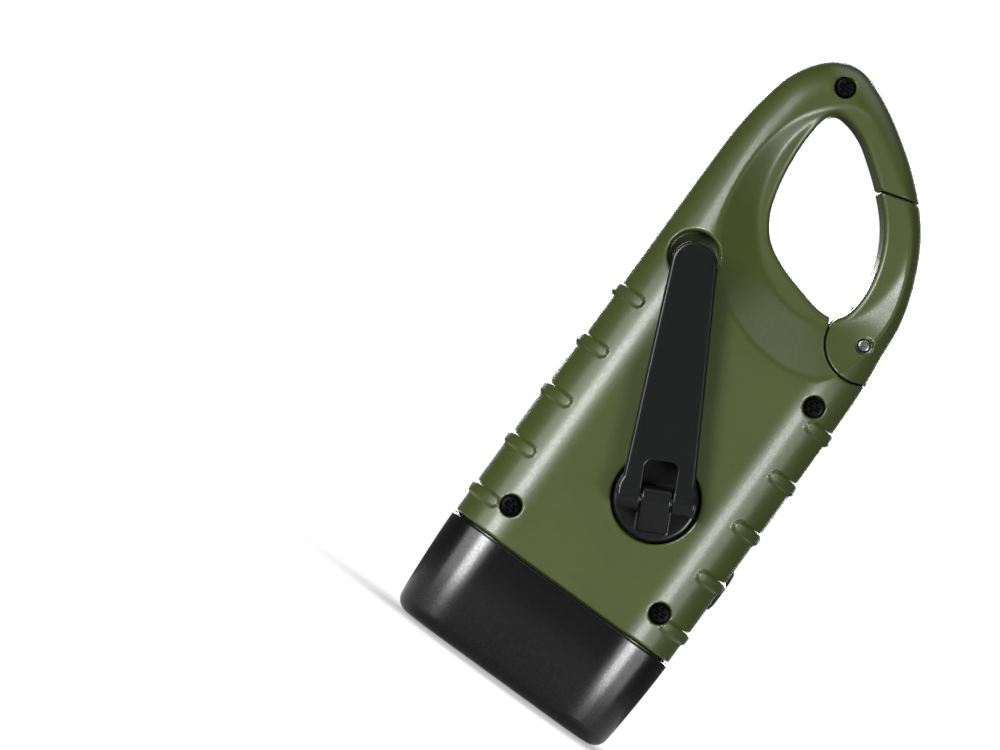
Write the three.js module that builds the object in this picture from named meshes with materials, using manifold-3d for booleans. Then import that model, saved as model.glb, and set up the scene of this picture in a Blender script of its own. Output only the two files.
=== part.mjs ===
// Hand crank flashlight with a carabiner tail and a solar panel.
// Millimetres, +Z up. The light stands on the flat rim of its head: the beam points down, the
// carabiner is at the top, the crank faces -Y, the solar panel faces +Y and the gate is on +X.
import * as THREE from 'three';
import { mergeVertices, toCreasedNormals } from 'three/addons/utils/BufferGeometryUtils.js';
import Module from 'manifold-3d';

const wasm = await Module();
wasm.setup();

// Shared sizes
const CLEAR = 0.3; // between touching pieces
const RUN = 0.15; // radial, round axles and pins
const OVERRUN = 1; // how far a cutting tool passes a face
const WALL = 2;
const ROUND = 24; // segments of a large circle
const SMALL = 10; // segments of a small circle
const FINE = 8; // segments of a screw
const HALF_TURN = Math.PI;
const DEGREE = HALF_TURN / 180;
const QUARTER_TURN = Math.PI / 2;
const CREASE_DEGREES = 30; // edges sharper than this stay sharp
const FLAT_ENOUGH = 0.02; // facets that differ by less than this are merged

// Case: a rounded bar with a flat carabiner tail
const LENGTH = 140;
const WIDTH = 51.8;
const DEPTH = 36;
const SEAM_Z = 22; // between head and case
const SEAM_GAP = 0.5;
const SPLIT_GAP = 0.3; // between the two case halves, at y = 0
const SHOULDER = 12; // rounding of the long edges
const TAIL_SHOULDER = 6.5;
const TAIL_HALF_DEPTH = 10.2;
const TAPER_START = 76; // where the case starts to thin towards the tail
const CAVITY_OVER = 5; // how far the hollow reaches past that
const STATIONS = 13;
const SHOULDER_STEPS = 4;
const CURVE_STEPS = 8; // points of the outline between two of its places
// Tail outline as shares of half the width and of the tail, from the straight side to the top.
const LEFT_SHARES = [[-1, 0.4312], [-0.99, 0.6281], [-0.954, 0.7506], [-0.873, 0.8753],
  [-0.7, 0.9716], [-0.483, 1.0066]];
const RIGHT_SHARES = [[1, -0.0281], [0.988, 0.1884], [0.958, 0.3131], [0.927, 0.4378],
  [0.83, 0.5625], [0.672, 0.6872], [0.49, 0.7769], [0.197, 0.8753], [-0.228, 0.9694],
  [-0.483, 1.0066]];

// Carabiner loop
const RING_HALF_DEPTH = 9.75;
const LOOP_EDGE = 0.8; // chamfer round the loop
const LOOP_SHARES = [[-0.405, 0.8447], [-0.3, 0.8447], [-0.15, 0.825], [0, 0.7856], [0.178, 0.7288],
  [0.37, 0.6478], [0.49, 0.5625], [0.552, 0.475], [0.562, 0.4138], [0.537, 0.3569], [0.47, 0.3241],
  [0.36, 0.3175], [0.15, 0.335], [-0.08, 0.3634], [-0.26, 0.405], [-0.38, 0.4684], [-0.452, 0.5559],
  [-0.49, 0.6566], [-0.494, 0.7506], [-0.468, 0.8141]];
const LOOP_STEPS = 30;
// The faces sink to the loop along a slanted oval dish.
const DISH_TILT_DEGREES = 27;
const DISH_FLOOR_SHARES = { x: 0.0463, z: 0.5813, long: 0.3281, short: 0.5985 };
const DISH_BRIM_SHARES = { x: 0.193, z: 0.6234, long: 0.5312, short: 1.197 };

// Grip ribs
const RIB_COUNT = 5;
const RIB_FIRST_Z = 28;
const RIB_PITCH = 12.15;
const RIB_WIDTH = 2.5;
const RIB_START = 20; // inner end, from the middle
const RIB_PROUD = 0.55;
const RIB_STEPS = 2;

// Head
const HEAD_FLARE = 0.25; // the head stands this much proud of the case at the seam
const HEAD_TAPER = 1.3; // narrower at the front, each side
const HEAD_CURVE = 1.6; // how the taper grows towards the front
const RIM_ROUND = 3;
const RIM_STEPS = 3;
const HEAD_STEPS = 2;
const HEAD_WALL = 1.9;
const BEAM = { halfWidth: 20.1, halfDepth: 12.2, corner: 8 }; // opening that the light leaves by
const LIP = 2.1; // thickness of the rim round the opening
const SPIGOT = { bottom: 17.4, top: 25, inset: 2.05, root: 1.4, wall: 1.5 };

// Optics
const LENS_THICK = 1.8;
const LED_BOARD_THICK = 1.2;
const CUP = { mouth: 6.4, throat: 3.1, pitch: 13.6 };
const CUP_STEPS = 3;
const CUP_SEGMENTS = 18;
const LED = { radius: 2.5, flange: 2.8, flangeHeight: 1, height: 7.6 };
const LED_COUNT = 3;
const DOME_STEPS = 3;

// Solar panel: margins are to the case's side, to the seam and to where the case starts to thin
const FRAME = { sideMargin: 9.5, bottomMargin: 5.8, over: 1, arch: 3.5, corner: 4, thick: 1.9,
  proud: 0.6, ridgeProud: 1.3 };
const RIDGE = { side: 2.6, bottom: 1.6, corner: 2.2 }; // inside the frame's edges
const WINDOW = { side: 2.8, end: 3.4, corner: 1.8, sink: 1.9, thick: 1.1, slope: 0.9,
  lap: 0.9 }; // inside the ridge's edges
const CELL_THICK = 0.7;
const FRAME_STEPS = 4;
const PAD = { side: 1.5, bottom: 2.8, over: 1 }; // bed behind the panel, past its edges

// Crank
const HUB = { x: 4.6, z: 47.1, radius: 8.6, top: 17.7, floor: 14.6, edge: 0.4, shaft: 2.5,
  flat: 2, tip: 1.5, boss: 10.7 };
const FLOOR_THICK = 1.5;
const SHAFT_OVER = 0.5;
const FOLD_Y = 20.8; // hinge axis, this far out on the crank side
const BARREL = 2.6; // round ends of the hinge
const LUG = { halfWidth: 2.95, foot: 6.6, rise: 0.5 };
const ARM = { length: 46.8, tip: 4.6, root: 7.4, flare: 8.1, top: 23, bottom: 18.6, edge: 0.6,
  slot: 7.6, slotHalf: 3.25, cheek: 0.6, plate: 1.7, tipPlate: 1.4, wall: 1.3 };
const ARM_TURN_DEGREES = -26.8; // folded arm, from straight up towards -X
const HINGE_PIN = { radius: 0.9, halfLength: 7.1 };
const KNOB = { radius: 4.1, edge: 0.5, dish: 1.1, dishRadius: 2.5 };
const RIVET = { radius: 1.1, head: 1.9, headHeight: 0.7, skin: 0.7 };
const CLIP = { inner: 2.15, clear: 0.62, thick: 0.6, gap: 0.15, mouth: 1.6 };
const POCKET = { radius: 6, past: 0.6, floor: 12, edge: 0.6 }; // finger pocket past the knob

// Gears
const TRAIN_MARGIN = { across: 4.06, above: 0.9 }; // left over in the case round the train
const WHEEL_TEETH = 36;
const PINION_TEETH = 12;
const PRESSURE_DEGREES = 25;
const ADDENDUM_SHARE = 0.85; // of the module, as are the next four
const DEDENDUM_SHARE = 1.1;
const WHEEL_SHARES = { hub: 5.75, rim: 15.25 };
const STATOR_SHARES = { outer: 13, magnet: 8.25, coilInner: 8.875, coilOuter: 11.5 };
// Corners of the gear plate from the hub; the first ones rest on posts.
const PLATE_CORNER_SHARES = [[-30.125, -4.5], [-5.125, 38], [-29.5, 34.875], [1.75, -3.25],
  [17.375, 18.625], [12.375, 34.875]];
const BACKLASH = 0.25;
const FLANK_STEPS = 1;
const LAYER_GAP = 0.7;
const WHEEL = { thick: 2, sink: 0.6 };
const PINION_OVER = 0.3; // pinions reach this far past the wheel they mesh with
const PINION_FRONT = 0.1; // and this far where the case wall is near
const COMPOUND_TURN_DEGREES = 129; // where the second axle sits, seen from the hub
const ROTOR_TURN_DEGREES = 18; // where the rotor sits, seen from the second axle
const AXLE = { radius: 1, front: 14, boss: 2.6, bossEnd: 13.2 };
const ROTOR = { radius: 0.75, front: 12.9, back: 3.2, boss: 2.2, bossEnd: 11.2 };
const PLATE_THICK = 1.5;
const PLATE_ROUND = 2.6;
const POST_COUNT = 3;
const POST = { radius: 1.8, hole: 0.75, depth: 5 };
const SMALL_SCREW = { head: 1.5, headHeight: 0.9, shank: 0.6, reach: 4.5, slot: 0.4, depth: 0.4 };
const MAGNET = { low: -5.2, high: 1.8 };
const STATOR = { wall: 0.9, back: 3.4 };
const STATOR_COIL = { low: -5, high: 2 };

// Gate: places are shares of half the width and of the tail
const PIVOT_SHARES = [0.78, 0.3094];
const SEAM_INNER_SHARES = [0.0714, 0.718];
const SEAM_OUTER_SHARES = [0.6622, 0.7883];
const KNUCKLE_SHARE = 0.11875; // of the tail
const PIVOT = { pin: 1.15, sink: 0.6, ring: 1.8 };
const GATE_GAP = 0.4; // between the gate's tip and the hook
const GATE_START_DEGREES = 150; // where the gate's inner edge leaves the knuckle
const TONGUE_START_DEGREES = 183.5;
const TONGUE_HALF = 4.5;
const TONGUE_PLAY = 0.05; // between the knuckle and the slot for the tongue
const COIL = { turns: 3, wire: 0.3, radius: 2.2, low: 1.6, leg: 1.6, steps: 8, sides: 5 };

// Button and switch
const BUTTON = { y: 2.5, z: 40, radius: 4.7, proud: 1, edge: 0.5, flange: 5.4, flangeThick: 0.9,
  inside: 0.5, gap: 0.25, stem: 1.5, ring: 0.8, ringDepth: 0.35 };
const TRAVEL = 0.8;
const SWITCH = { behind: 5.3, thick: 4, half: 3, plunger: 1.3, over: 1 }; // behind the side

// Inside
const BOARD = { y: 5.8, thick: 1.2, side: 3.3, bottom: 33.5, top: 62, corner: 1.5,
  postSide: 2.6, postEnd: 3 }; // side is to the case's wall
const BATTERY = { radius: 7.2, cell: 6, count: 3, y: -1.8, z: 31.4, edge: 0.5 };
const CRADLE = { thick: 1.6, side: 2.5, sink: 0.4 }; // side is to the ends of the cells

// Case screws: their places, and how far their seats are from the split
const SCREW = { head: 1.95, headHeight: 1.1, shank: 1.2, reach: 5.5, recess: 2.2, boss: 3.3,
  slot: 0.6, slotDepth: 0.5, seat: 14.5, tailSeat: 7.65 };
const LOW_SCREWS = { leftShare: -0.6834, rightShare: 0.7143, above: 7.3 }; // above the seam
const WAIST_SCREW_SHARES = [0.7413, 0.0641]; // of half the width and of the tail
const TAIL_SCREW_SHARES = [-0.4903, 0.9234];

const halfWidth = WIDTH / 2;
const halfDepth = DEPTH / 2;
const tailLength = LENGTH - TAPER_START;
const cavityTop = TAPER_START + CAVITY_OVER;
const farSide = WIDTH; // past everything, for cutting tools

/** A place given as shares of half the width and of the tail. */
const tailPlace = ([x, z]) => ({ x: x * halfWidth, z: TAPER_START + z * tailLength });

const screwPlaces = [
  { x: LOW_SCREWS.leftShare * halfWidth, z: SEAM_Z + LOW_SCREWS.above, seat: SCREW.seat },
  { x: LOW_SCREWS.rightShare * halfWidth, z: SEAM_Z + LOW_SCREWS.above, seat: SCREW.seat },
  { ...tailPlace(WAIST_SCREW_SHARES), seat: SCREW.seat },
  { ...tailPlace(TAIL_SCREW_SHARES), seat: SCREW.tailSeat },
];
const pivot = tailPlace(PIVOT_SHARES);
const knuckle = KNUCKLE_SHARE * tailLength;
const seamInner = tailPlace(SEAM_INNER_SHARES);
const seamOuter = tailPlace(SEAM_OUTER_SHARES);

// Solids

/** A closed three.js geometry as a solid, turned right side out. */
function solid(geometry) {
  const bare = new THREE.BufferGeometry();
  bare.setAttribute('position', geometry.getAttribute('position'));
  if (geometry.index) bare.setIndex(geometry.index);
  const merged = mergeVertices(bare);
  const triVerts = new Uint32Array(merged.index.array);
  const build = () => new wasm.Manifold(new wasm.Mesh({
    numProp: 3, vertProperties: merged.attributes.position.array, triVerts,
  }));
  const made = build();
  if (made.volume() > 0) return made;
  for (let i = 0; i < triVerts.length; i += 3) {
    [triVerts[i + 1], triVerts[i + 2]] = [triVerts[i + 2], triVerts[i + 1]];
  }
  return build();
}

const join = (...parts) => parts.reduce((all, part) => all.add(part));
const cut = (body, ...tools) => tools.reduce((rest, tool) => rest.subtract(tool), body);

/** A prism along Y with an outline drawn in x and z. */
function slab(outline, yLow, yHigh) {
  const shape = outline instanceof THREE.Shape ? outline : new THREE.Shape(outline);
  const geometry = new THREE.ExtrudeGeometry(shape,
    { depth: yHigh - yLow, bevelEnabled: false, curveSegments: SMALL });
  return solid(geometry.rotateX(QUARTER_TURN).translate(0, yHigh, 0));
}

/** A box between two corners. */
function block(low, high) {
  const size = low.map((value, i) => high[i] - value);
  const middle = low.map((value, i) => (high[i] + value) / 2);
  return solid(new THREE.BoxGeometry(...size).translate(...middle));
}

/** A body of revolution about the Y axis through (x, z); its profile is [radius, y]. */
function turned(profile, x, z, segments = ROUND) {
  const points = profile.map(([radius, y]) => new THREE.Vector2(radius, y));
  return solid(new THREE.LatheGeometry(points, segments).translate(x, 0, z));
}

/** A plain cylinder along Y. */
function rod(radius, yLow, yHigh, x, z, segments = SMALL) {
  return turned([[0, yLow], [radius, yLow], [radius, yHigh], [0, yHigh]], x, z, segments);
}

/** A body of revolution about an axis along X through (y, z); its profile is [radius, x]. */
function turnedX(profile, y, z, segments = ROUND) {
  const points = profile.map(([radius, x]) => new THREE.Vector2(radius, x));
  const geometry = new THREE.LatheGeometry(points, segments).rotateZ(-QUARTER_TURN);
  return solid(geometry.translate(0, y, z));
}

/** A body of revolution about a vertical axis through (x, 0); its profile is [radius, z]. */
function turnedZ(profile, x, segments = ROUND) {
  const points = profile.map(([radius, z]) => new THREE.Vector2(radius, z));
  const geometry = new THREE.LatheGeometry(points, segments).rotateX(QUARTER_TURN);
  return solid(geometry.translate(x, 0, 0));
}

/** A skin through convex rings of equally many points; strips across the rings close the ends. */
function loft(rings) {
  const count = rings[0].length;
  const index = [];
  for (let r = 0; r + 1 < rings.length; r += 1) {
    for (let i = 0; i < count; i += 1) {
      const a = r * count + i;
      const b = r * count + (i + 1) % count;
      index.push(a, b, b + count, a, b + count, a + count);
    }
  }
  const last = (rings.length - 1) * count;
  for (let i = 0; i + 1 < count / 2; i += 1) {
    const [a, b, c, d] = [i, i + 1, count - 2 - i, count - 1 - i];
    index.push(a, c, b, a, d, c);
    index.push(last + a, last + b, last + c, last + a, last + c, last + d);
  }
  const geometry = new THREE.BufferGeometry().setFromPoints(rings.flat());
  return solid(geometry.setIndex(index));
}

/** A closed ring of points in x and z, moved outwards from its inside by a distance. */
function offset(points, grow) {
  return points.map((p, i) => {
    const along = points[(i + 1) % points.length].clone().sub(points.at(i - 1)).normalize();
    return new THREE.Vector3(p.x + along.z * grow, p.y, p.z - along.x * grow);
  });
}

/** Points round a rounded rectangle about the origin. */
function roundedRect(halfX, halfY, corner, steps = SHOULDER_STEPS) {
  const points = [];
  for (let quarter = 0; quarter < 4; quarter += 1) {
    const cx = (quarter === 0 || quarter === 3 ? 1 : -1) * (halfX - corner);
    const cy = (quarter < 2 ? 1 : -1) * (halfY - corner);
    for (let i = 0; i <= steps; i += 1) {
      const angle = (quarter + i / steps) * QUARTER_TURN;
      points.push(new THREE.Vector2(cx + corner * Math.cos(angle), cy + corner * Math.sin(angle)));
    }
  }
  return points;
}

/** A rounded rectangle between limits, as an outline in x and z. */
function roundedPlate(halfX, zLow, zHigh, corner) {
  const middle = (zLow + zHigh) / 2;
  return roundedRect(halfX, (zHigh - zLow) / 2, corner, SHOULDER_STEPS)
    .map((p) => new THREE.Vector2(p.x, p.y + middle));
}

/** Rounded rectangles stacked up Z, each [z, half width, half depth, corner]. */
const stack = (levels) => loft(levels.map(([z, halfX, halfY, corner]) =>
  roundedRect(halfX, halfY, corner).map((p) => new THREE.Vector3(p.x, p.y, z))));

/** The place at a distance and angle from another, in x and z. */
const polar = (x, z, distance, angle) =>
  ({ x: x + distance * Math.cos(angle), z: z + distance * Math.sin(angle) });

// Case form

const smooth = (t) => t * t * (3 - 2 * t);
const ramp = (value, from, to) => smooth(Math.min(1, Math.max(0, (value - from) / (to - from))));

/** Half the case's depth at a height. */
const formHalfDepth = (z) =>
  halfDepth + (TAIL_HALF_DEPTH - halfDepth) * ramp(z, TAPER_START, LENGTH);

/** Rounding of the long edges at a height. */
const formShoulder = (z) => SHOULDER + (TAIL_SHOULDER - SHOULDER) * ramp(z, TAPER_START, LENGTH);

/** One side of the outline as fine points, from the seam up to the top. */
function outlineSide(shares) {
  const places = shares.map(tailPlace).map(({ x, z }) => new THREE.Vector3(x, 0, z));
  const curve = new THREE.CatmullRomCurve3(places, false, 'centripetal');
  const tail = curve.getPoints(places.length * CURVE_STEPS);
  return [new THREE.Vector3(places[0].x, 0, 0), ...tail];
}

/** Where a side of the outline is at a height, with its outward direction. */
function sideAt(side, z) {
  const found = side.findIndex((p) => p.z >= z);
  const i = found < 1 ? (found === 0 ? 1 : side.length - 1) : found;
  const [low, high] = [side[i - 1], side[i]];
  const along = high.clone().sub(low).normalize();
  const outward = new THREE.Vector3(along.z, 0, -along.x).multiplyScalar(Math.sign(side[0].x));
  return { point: low.clone().lerp(high, (z - low.z) / (high.z - low.z)), outward };
}

/**
 * The case's outer form, or the same form inset by a wall. Rings climb both sides at equal heights;
 * each goes from face to face round the shoulders of one side and back round the other.
 */
function caseForm(inset, bottom) {
  const sides = [outlineSide(RIGHT_SHARES), outlineSide(LEFT_SHARES)];
  const heights = [bottom, (bottom + TAPER_START) / 2];
  for (let i = 0; i < STATIONS; i += 1) {
    heights.push(TAPER_START + tailLength * Math.sin(i / (STATIONS - 1) * QUARTER_TURN));
  }
  const profile = (side, height) => {
    const { point, outward } = sideAt(side, height);
    const depth = formHalfDepth(point.z) - inset;
    const round = Math.max(formShoulder(point.z) - inset, WALL);
    const half = [];
    for (let i = 0; i <= SHOULDER_STEPS; i += 1) {
      const angle = i / SHOULDER_STEPS * QUARTER_TURN;
      const sink = inset + round * (1 - Math.cos(angle));
      const y = depth - round * (1 - Math.sin(angle));
      half.push(point.clone().addScaledVector(outward, -sink).setY(y));
    }
    const mirrored = half.map((p) => p.clone().setY(-p.y)).reverse();
    return [...mirrored, ...half];
  };
  return loft(heights.map((height) =>
    [...profile(sides[0], height), ...profile(sides[1], height).reverse()]));
}

/** The oval dish that sinks one face towards the loop. */
function dish(side) {
  const rise = halfDepth - RING_HALF_DEPTH;
  const tilt = DISH_TILT_DEGREES * DEGREE;
  const ring = (share) => {
    const mix = (key) => DISH_FLOOR_SHARES[key]
      + (DISH_BRIM_SHARES[key] - DISH_FLOOR_SHARES[key]) * share;
    const centre = tailPlace([mix('x'), mix('z')]);
    const points = [];
    for (let i = 0; i < ROUND; i += 1) {
      const angle = i / ROUND * 2 * HALF_TURN;
      const across = mix('short') * halfWidth * Math.cos(angle);
      const along = mix('long') * tailLength * Math.sin(angle);
      points.push(new THREE.Vector3(
        centre.x + across * Math.cos(tilt) - along * Math.sin(tilt),
        side * (RING_HALF_DEPTH + rise * share),
        centre.z + across * Math.sin(tilt) + along * Math.cos(tilt),
      ));
    }
    return points;
  };
  return loft([ring(0), ring(1), ring(1 + OVERRUN / rise)]);
}

/** The loop that the carabiner hooks with, chamfered where it meets the faces. */
function loop() {
  const places = LOOP_SHARES.map(tailPlace).map(({ x, z }) => new THREE.Vector3(x, 0, z));
  const curve = new THREE.CatmullRomCurve3(places, true, 'centripetal');
  const points = curve.getPoints(LOOP_STEPS).slice(0, LOOP_STEPS);
  const ring = (y, grow) => offset(points, -grow).map((p) => p.setY(y));
  const inner = RING_HALF_DEPTH - LOOP_EDGE;
  return loft([ring(-halfDepth, LOOP_EDGE), ring(-RING_HALF_DEPTH, LOOP_EDGE), ring(-inner, 0),
    ring(inner, 0), ring(RING_HALF_DEPTH, LOOP_EDGE), ring(halfDepth, LOOP_EDGE)]);
}

/** Grip ribs: bars with a round inner end that follow the shoulders on both sides. */
function ribs(bottom) {
  const start = RIB_START + RIB_WIDTH / 2;
  const bar = new THREE.Shape();
  bar.moveTo(farSide, -RIB_WIDTH / 2).lineTo(start, -RIB_WIDTH / 2);
  bar.absarc(start, 0, RIB_WIDTH / 2, -QUARTER_TURN, QUARTER_TURN, true);
  bar.lineTo(farSide, RIB_WIDTH / 2);
  const outline = bar.getPoints(RIB_STEPS);
  const bars = [];
  for (let i = 0; i < RIB_COUNT; i += 1) {
    const z = RIB_FIRST_Z + i * RIB_PITCH;
    for (const side of [-1, 1]) {
      const placed = outline.map((p) => new THREE.Vector2(side * p.x, z + p.y));
      bars.push(slab(placed, -DEPTH, DEPTH));
    }
  }
  return caseForm(-RIB_PROUD, bottom).intersect(join(...bars));
}

// Head and optics

/** Half width, half depth and corner of the head at a height, inset by a wall. */
function headLevel(z, inset) {
  const narrow = HEAD_TAPER * (1 - z / SEAM_Z) ** HEAD_CURVE;
  const grow = HEAD_FLARE - narrow - inset;
  return [z, halfWidth + grow, halfDepth + grow, SHOULDER + grow];
}

const headTop = SEAM_Z - SEAM_GAP / 2;
const caseBottom = SEAM_Z + SEAM_GAP / 2;
const lensLow = LIP + CLEAR;
const lensHigh = lensLow + LENS_THICK;
const boardHigh = SPIGOT.bottom - CLEAR;
const boardLow = boardHigh - LED_BOARD_THICK;
const reflectorLow = lensHigh + CLEAR;
const reflectorHigh = boardLow - CLEAR;

function headBezel() {
  const rim = [];
  for (let i = 0; i < RIM_STEPS; i += 1) {
    const angle = i / RIM_STEPS * QUARTER_TURN;
    const level = headLevel(RIM_ROUND, RIM_ROUND * (1 - Math.sin(angle)));
    rim.push([RIM_ROUND * (1 - Math.cos(angle)), ...level.slice(1)]);
  }
  const sides = [];
  for (let i = 0; i <= HEAD_STEPS; i += 1) {
    sides.push(headLevel(RIM_ROUND + (headTop - RIM_ROUND) * i / HEAD_STEPS, 0));
  }
  const hollow = sides.filter(([z]) => z > lensHigh)
    .map(([z]) => headLevel(z, HEAD_WALL));
  hollow.unshift(headLevel(LIP, HEAD_WALL));
  hollow.push([headTop + OVERRUN, ...headLevel(headTop, HEAD_WALL).slice(1)]);
  const beam = stack([-OVERRUN, LIP + OVERRUN].map((z) =>
    [z, BEAM.halfWidth, BEAM.halfDepth, BEAM.corner]));
  return cut(stack([...rim, ...sides]), stack(hollow), beam);
}

/** A flat plate that fills the head's hollow at its front end, with the usual gap. */
const headPlate = (low, high) => {
  const [, halfX, halfY, corner] = headLevel(LIP, HEAD_WALL + CLEAR);
  return stack([low, high].map((z) => [z, halfX, halfY, corner]));
};

const cupPlaces = Array.from({ length: LED_COUNT },
  (_, i) => (i - (LED_COUNT - 1) / 2) * CUP.pitch);

/** Block with a parabolic cup for each lamp, open at both ends. */
function reflector() {
  const depth = reflectorHigh - reflectorLow;
  const profile = [[0, reflectorLow - OVERRUN], [CUP.mouth, reflectorLow - OVERRUN]];
  for (let i = 0; i <= CUP_STEPS; i += 1) {
    const share = i / CUP_STEPS;
    const radius = CUP.throat + (CUP.mouth - CUP.throat) * Math.sqrt(1 - share);
    profile.push([radius, reflectorLow + depth * share]);
  }
  profile.push([CUP.throat, reflectorHigh + OVERRUN], [0, reflectorHigh + OVERRUN]);
  return cut(headPlate(reflectorLow, reflectorHigh),
    ...cupPlaces.map((x) => turnedZ(profile, x, CUP_SEGMENTS)));
}

/** A round lamp: flange on the board, straight body and domed end towards the lens. */
function led(x) {
  const shoulder = reflectorHigh - LED.height + LED.radius;
  const dome = [];
  for (let i = 1; i <= DOME_STEPS; i += 1) {
    const angle = i / DOME_STEPS * QUARTER_TURN;
    dome.push([LED.radius * Math.cos(angle), shoulder - LED.radius * Math.sin(angle)]);
  }
  return turnedZ([[0, reflectorHigh], [LED.flange, reflectorHigh],
    [LED.flange, reflectorHigh - LED.flangeHeight], [LED.radius, reflectorHigh - LED.flangeHeight],
    [LED.radius, shoulder], ...dome.slice(0, -1), [0, shoulder - LED.radius]], x, SMALL);
}

// Solar panel

const frameTop = halfDepth + FRAME.proud;
const frameBack = frameTop - FRAME.thick;
const ridgeTop = halfDepth + FRAME.ridgeProud;
const windowTop = ridgeTop - WINDOW.sink;
const windowBack = windowTop - WINDOW.thick;
const cellTop = windowBack - CLEAR;
const cellBack = cellTop - CELL_THICK;
const padInner = cellBack - CLEAR;

/** Limits of the panel's parts, seen from its front. */
const frame = { half: halfWidth - FRAME.sideMargin, low: SEAM_Z + FRAME.bottomMargin,
  high: TAPER_START + FRAME.over };
const ridge = { half: frame.half - RIDGE.side, low: frame.low + RIDGE.bottom, high: TAPER_START };
const opening = { half: ridge.half - WINDOW.side, low: ridge.low + WINDOW.end,
  high: ridge.high - WINDOW.end };

/** The frame's outline: square at the bottom, with an arched top. */
function frameOutline(grow) {
  const corner = FRAME.corner + grow;
  const chord = frame.half - FRAME.corner;
  const rise = FRAME.arch;
  const radius = (chord * chord + rise * rise) / (2 * rise);
  const [low, high] = [frame.low - grow, frame.high + grow];
  const swing = Math.asin(chord / radius);
  const shape = new THREE.Shape();
  shape.moveTo(-chord, low).lineTo(chord, low);
  shape.absarc(chord, low + corner, corner, -QUARTER_TURN, 0, false);
  shape.absarc(chord, high - corner, corner, 0, QUARTER_TURN - swing, false);
  shape.absarc(0, high + rise - radius, radius, QUARTER_TURN - swing, QUARTER_TURN + swing, false);
  shape.absarc(-chord, high - corner, corner, QUARTER_TURN + swing, HALF_TURN, false);
  shape.absarc(-chord, low + corner, corner, HALF_TURN, HALF_TURN + QUARTER_TURN, false);
  return new THREE.Shape(shape.getPoints(FRAME_STEPS));
}

/** A plate seen from the panel side, grown round the window by a margin. */
const windowPlate = (grow, yLow, yHigh) => slab(roundedPlate(opening.half + grow,
  opening.low - grow, opening.high + grow, WINDOW.corner + grow), yLow, yHigh);

function solarFrame() {
  const base = slab(frameOutline(0), frameBack, frameTop);
  const raised = slab(roundedPlate(ridge.half, ridge.low, ridge.high, RIDGE.corner),
    frameBack, ridgeTop);
  const level = (y, grow) => roundedPlate(opening.half + grow, opening.low - grow,
    opening.high + grow, WINDOW.corner + grow).map((p) => new THREE.Vector3(p.x, y, p.y));
  const light = loft([level(frameBack - OVERRUN, 0), level(windowTop + CLEAR, 0),
    level(ridgeTop, WINDOW.slope), level(ridgeTop + OVERRUN, WINDOW.slope)]);
  const rebate = windowPlate(WINDOW.lap + CLEAR, frameBack - OVERRUN, windowTop + CLEAR);
  return cut(join(base, raised), light, rebate);
}

// Crank, drawn upright about its own axis: x across the arm, z along it, Y the axis of turning

/** Cylinder along X between two distances from the middle, on one side of it. */
const barX = (radius, y, from, to, segments = ROUND) => turnedX([[0, from], [radius, from],
  [radius, to], [0, to]], y, 0, segments);

/** A prism along X with an outline drawn as [y, z]. */
function slabX(points, xLow, xHigh) {
  const shape = new THREE.Shape(points.map(([y, z]) => new THREE.Vector2(y, z)));
  const geometry = new THREE.ExtrudeGeometry(shape, { depth: xHigh - xLow, bevelEnabled: false });
  const axes = new THREE.Matrix4().makeBasis(new THREE.Vector3(0, 1, 0),
    new THREE.Vector3(0, 0, 1), new THREE.Vector3(1, 0, 0));
  return solid(geometry.applyMatrix4(axes).translate(xLow, 0, 0));
}

const wheelFront = HUB.floor - FLOOR_THICK - CLEAR; // crank wheel, nearest the case wall
const wheelBack = wheelFront - WHEEL.thick;
const secondFront = wheelBack - LAYER_GAP;
const secondBack = secondFront - WHEEL.thick;
const shaftStep = secondBack + SHAFT_OVER;
const plateFront = secondBack - LAYER_GAP;
const plateBack = plateFront - PLATE_THICK;
const clipFront = wheelBack - CLEAR;
const armTurn = ARM_TURN_DEGREES * DEGREE;
const compoundTurn = COMPOUND_TURN_DEGREES * DEGREE;
const rotorTurn = ROTOR_TURN_DEGREES * DEGREE;
// The module is as large as the case allows, both across and up to the top of the hollow.
const distanceShare = (WHEEL_TEETH + PINION_TEETH) / 2;
const trainShare = WHEEL_TEETH / 2 + ADDENDUM_SHARE + distanceShare * Math.cos(rotorTurn)
  + STATOR_SHARES.outer;
const plateShare = Math.max(...PLATE_CORNER_SHARES.map(([, z]) => z));
const gearModule = Math.min((2 * (halfWidth - WALL) - TRAIN_MARGIN.across) / trainShare,
  (cavityTop - HUB.z - PLATE_ROUND - TRAIN_MARGIN.above) / plateShare);
const meshDistance = gearModule * distanceShare;
const wheelTip = gearModule * (WHEEL_TEETH / 2 + ADDENDUM_SHARE);
const clipOuter = meshDistance - wheelTip - CLIP.clear;
const stator = Object.fromEntries(Object.entries(STATOR_SHARES)
  .map(([key, share]) => [key, share * gearModule]));
const second = polar(HUB.x, HUB.z, meshDistance, compoundTurn);
const rotor = polar(second.x, second.z, meshDistance, rotorTurn);
const plateCorners = PLATE_CORNER_SHARES
  .map(([x, z]) => [HUB.x + x * gearModule, HUB.z + z * gearModule]);
const platePosts = plateCorners.slice(0, POST_COUNT);

/** Everything of the shaft that is left by its flat; the wheel's bore follows it. */
const shaftRod = (grow, yLow, yHigh) => cut(rod(HUB.shaft + grow, yLow, yHigh, 0, 0),
  block([HUB.flat + grow, yLow - OVERRUN, -farSide], [farSide, yHigh + OVERRUN, farSide]));

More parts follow.
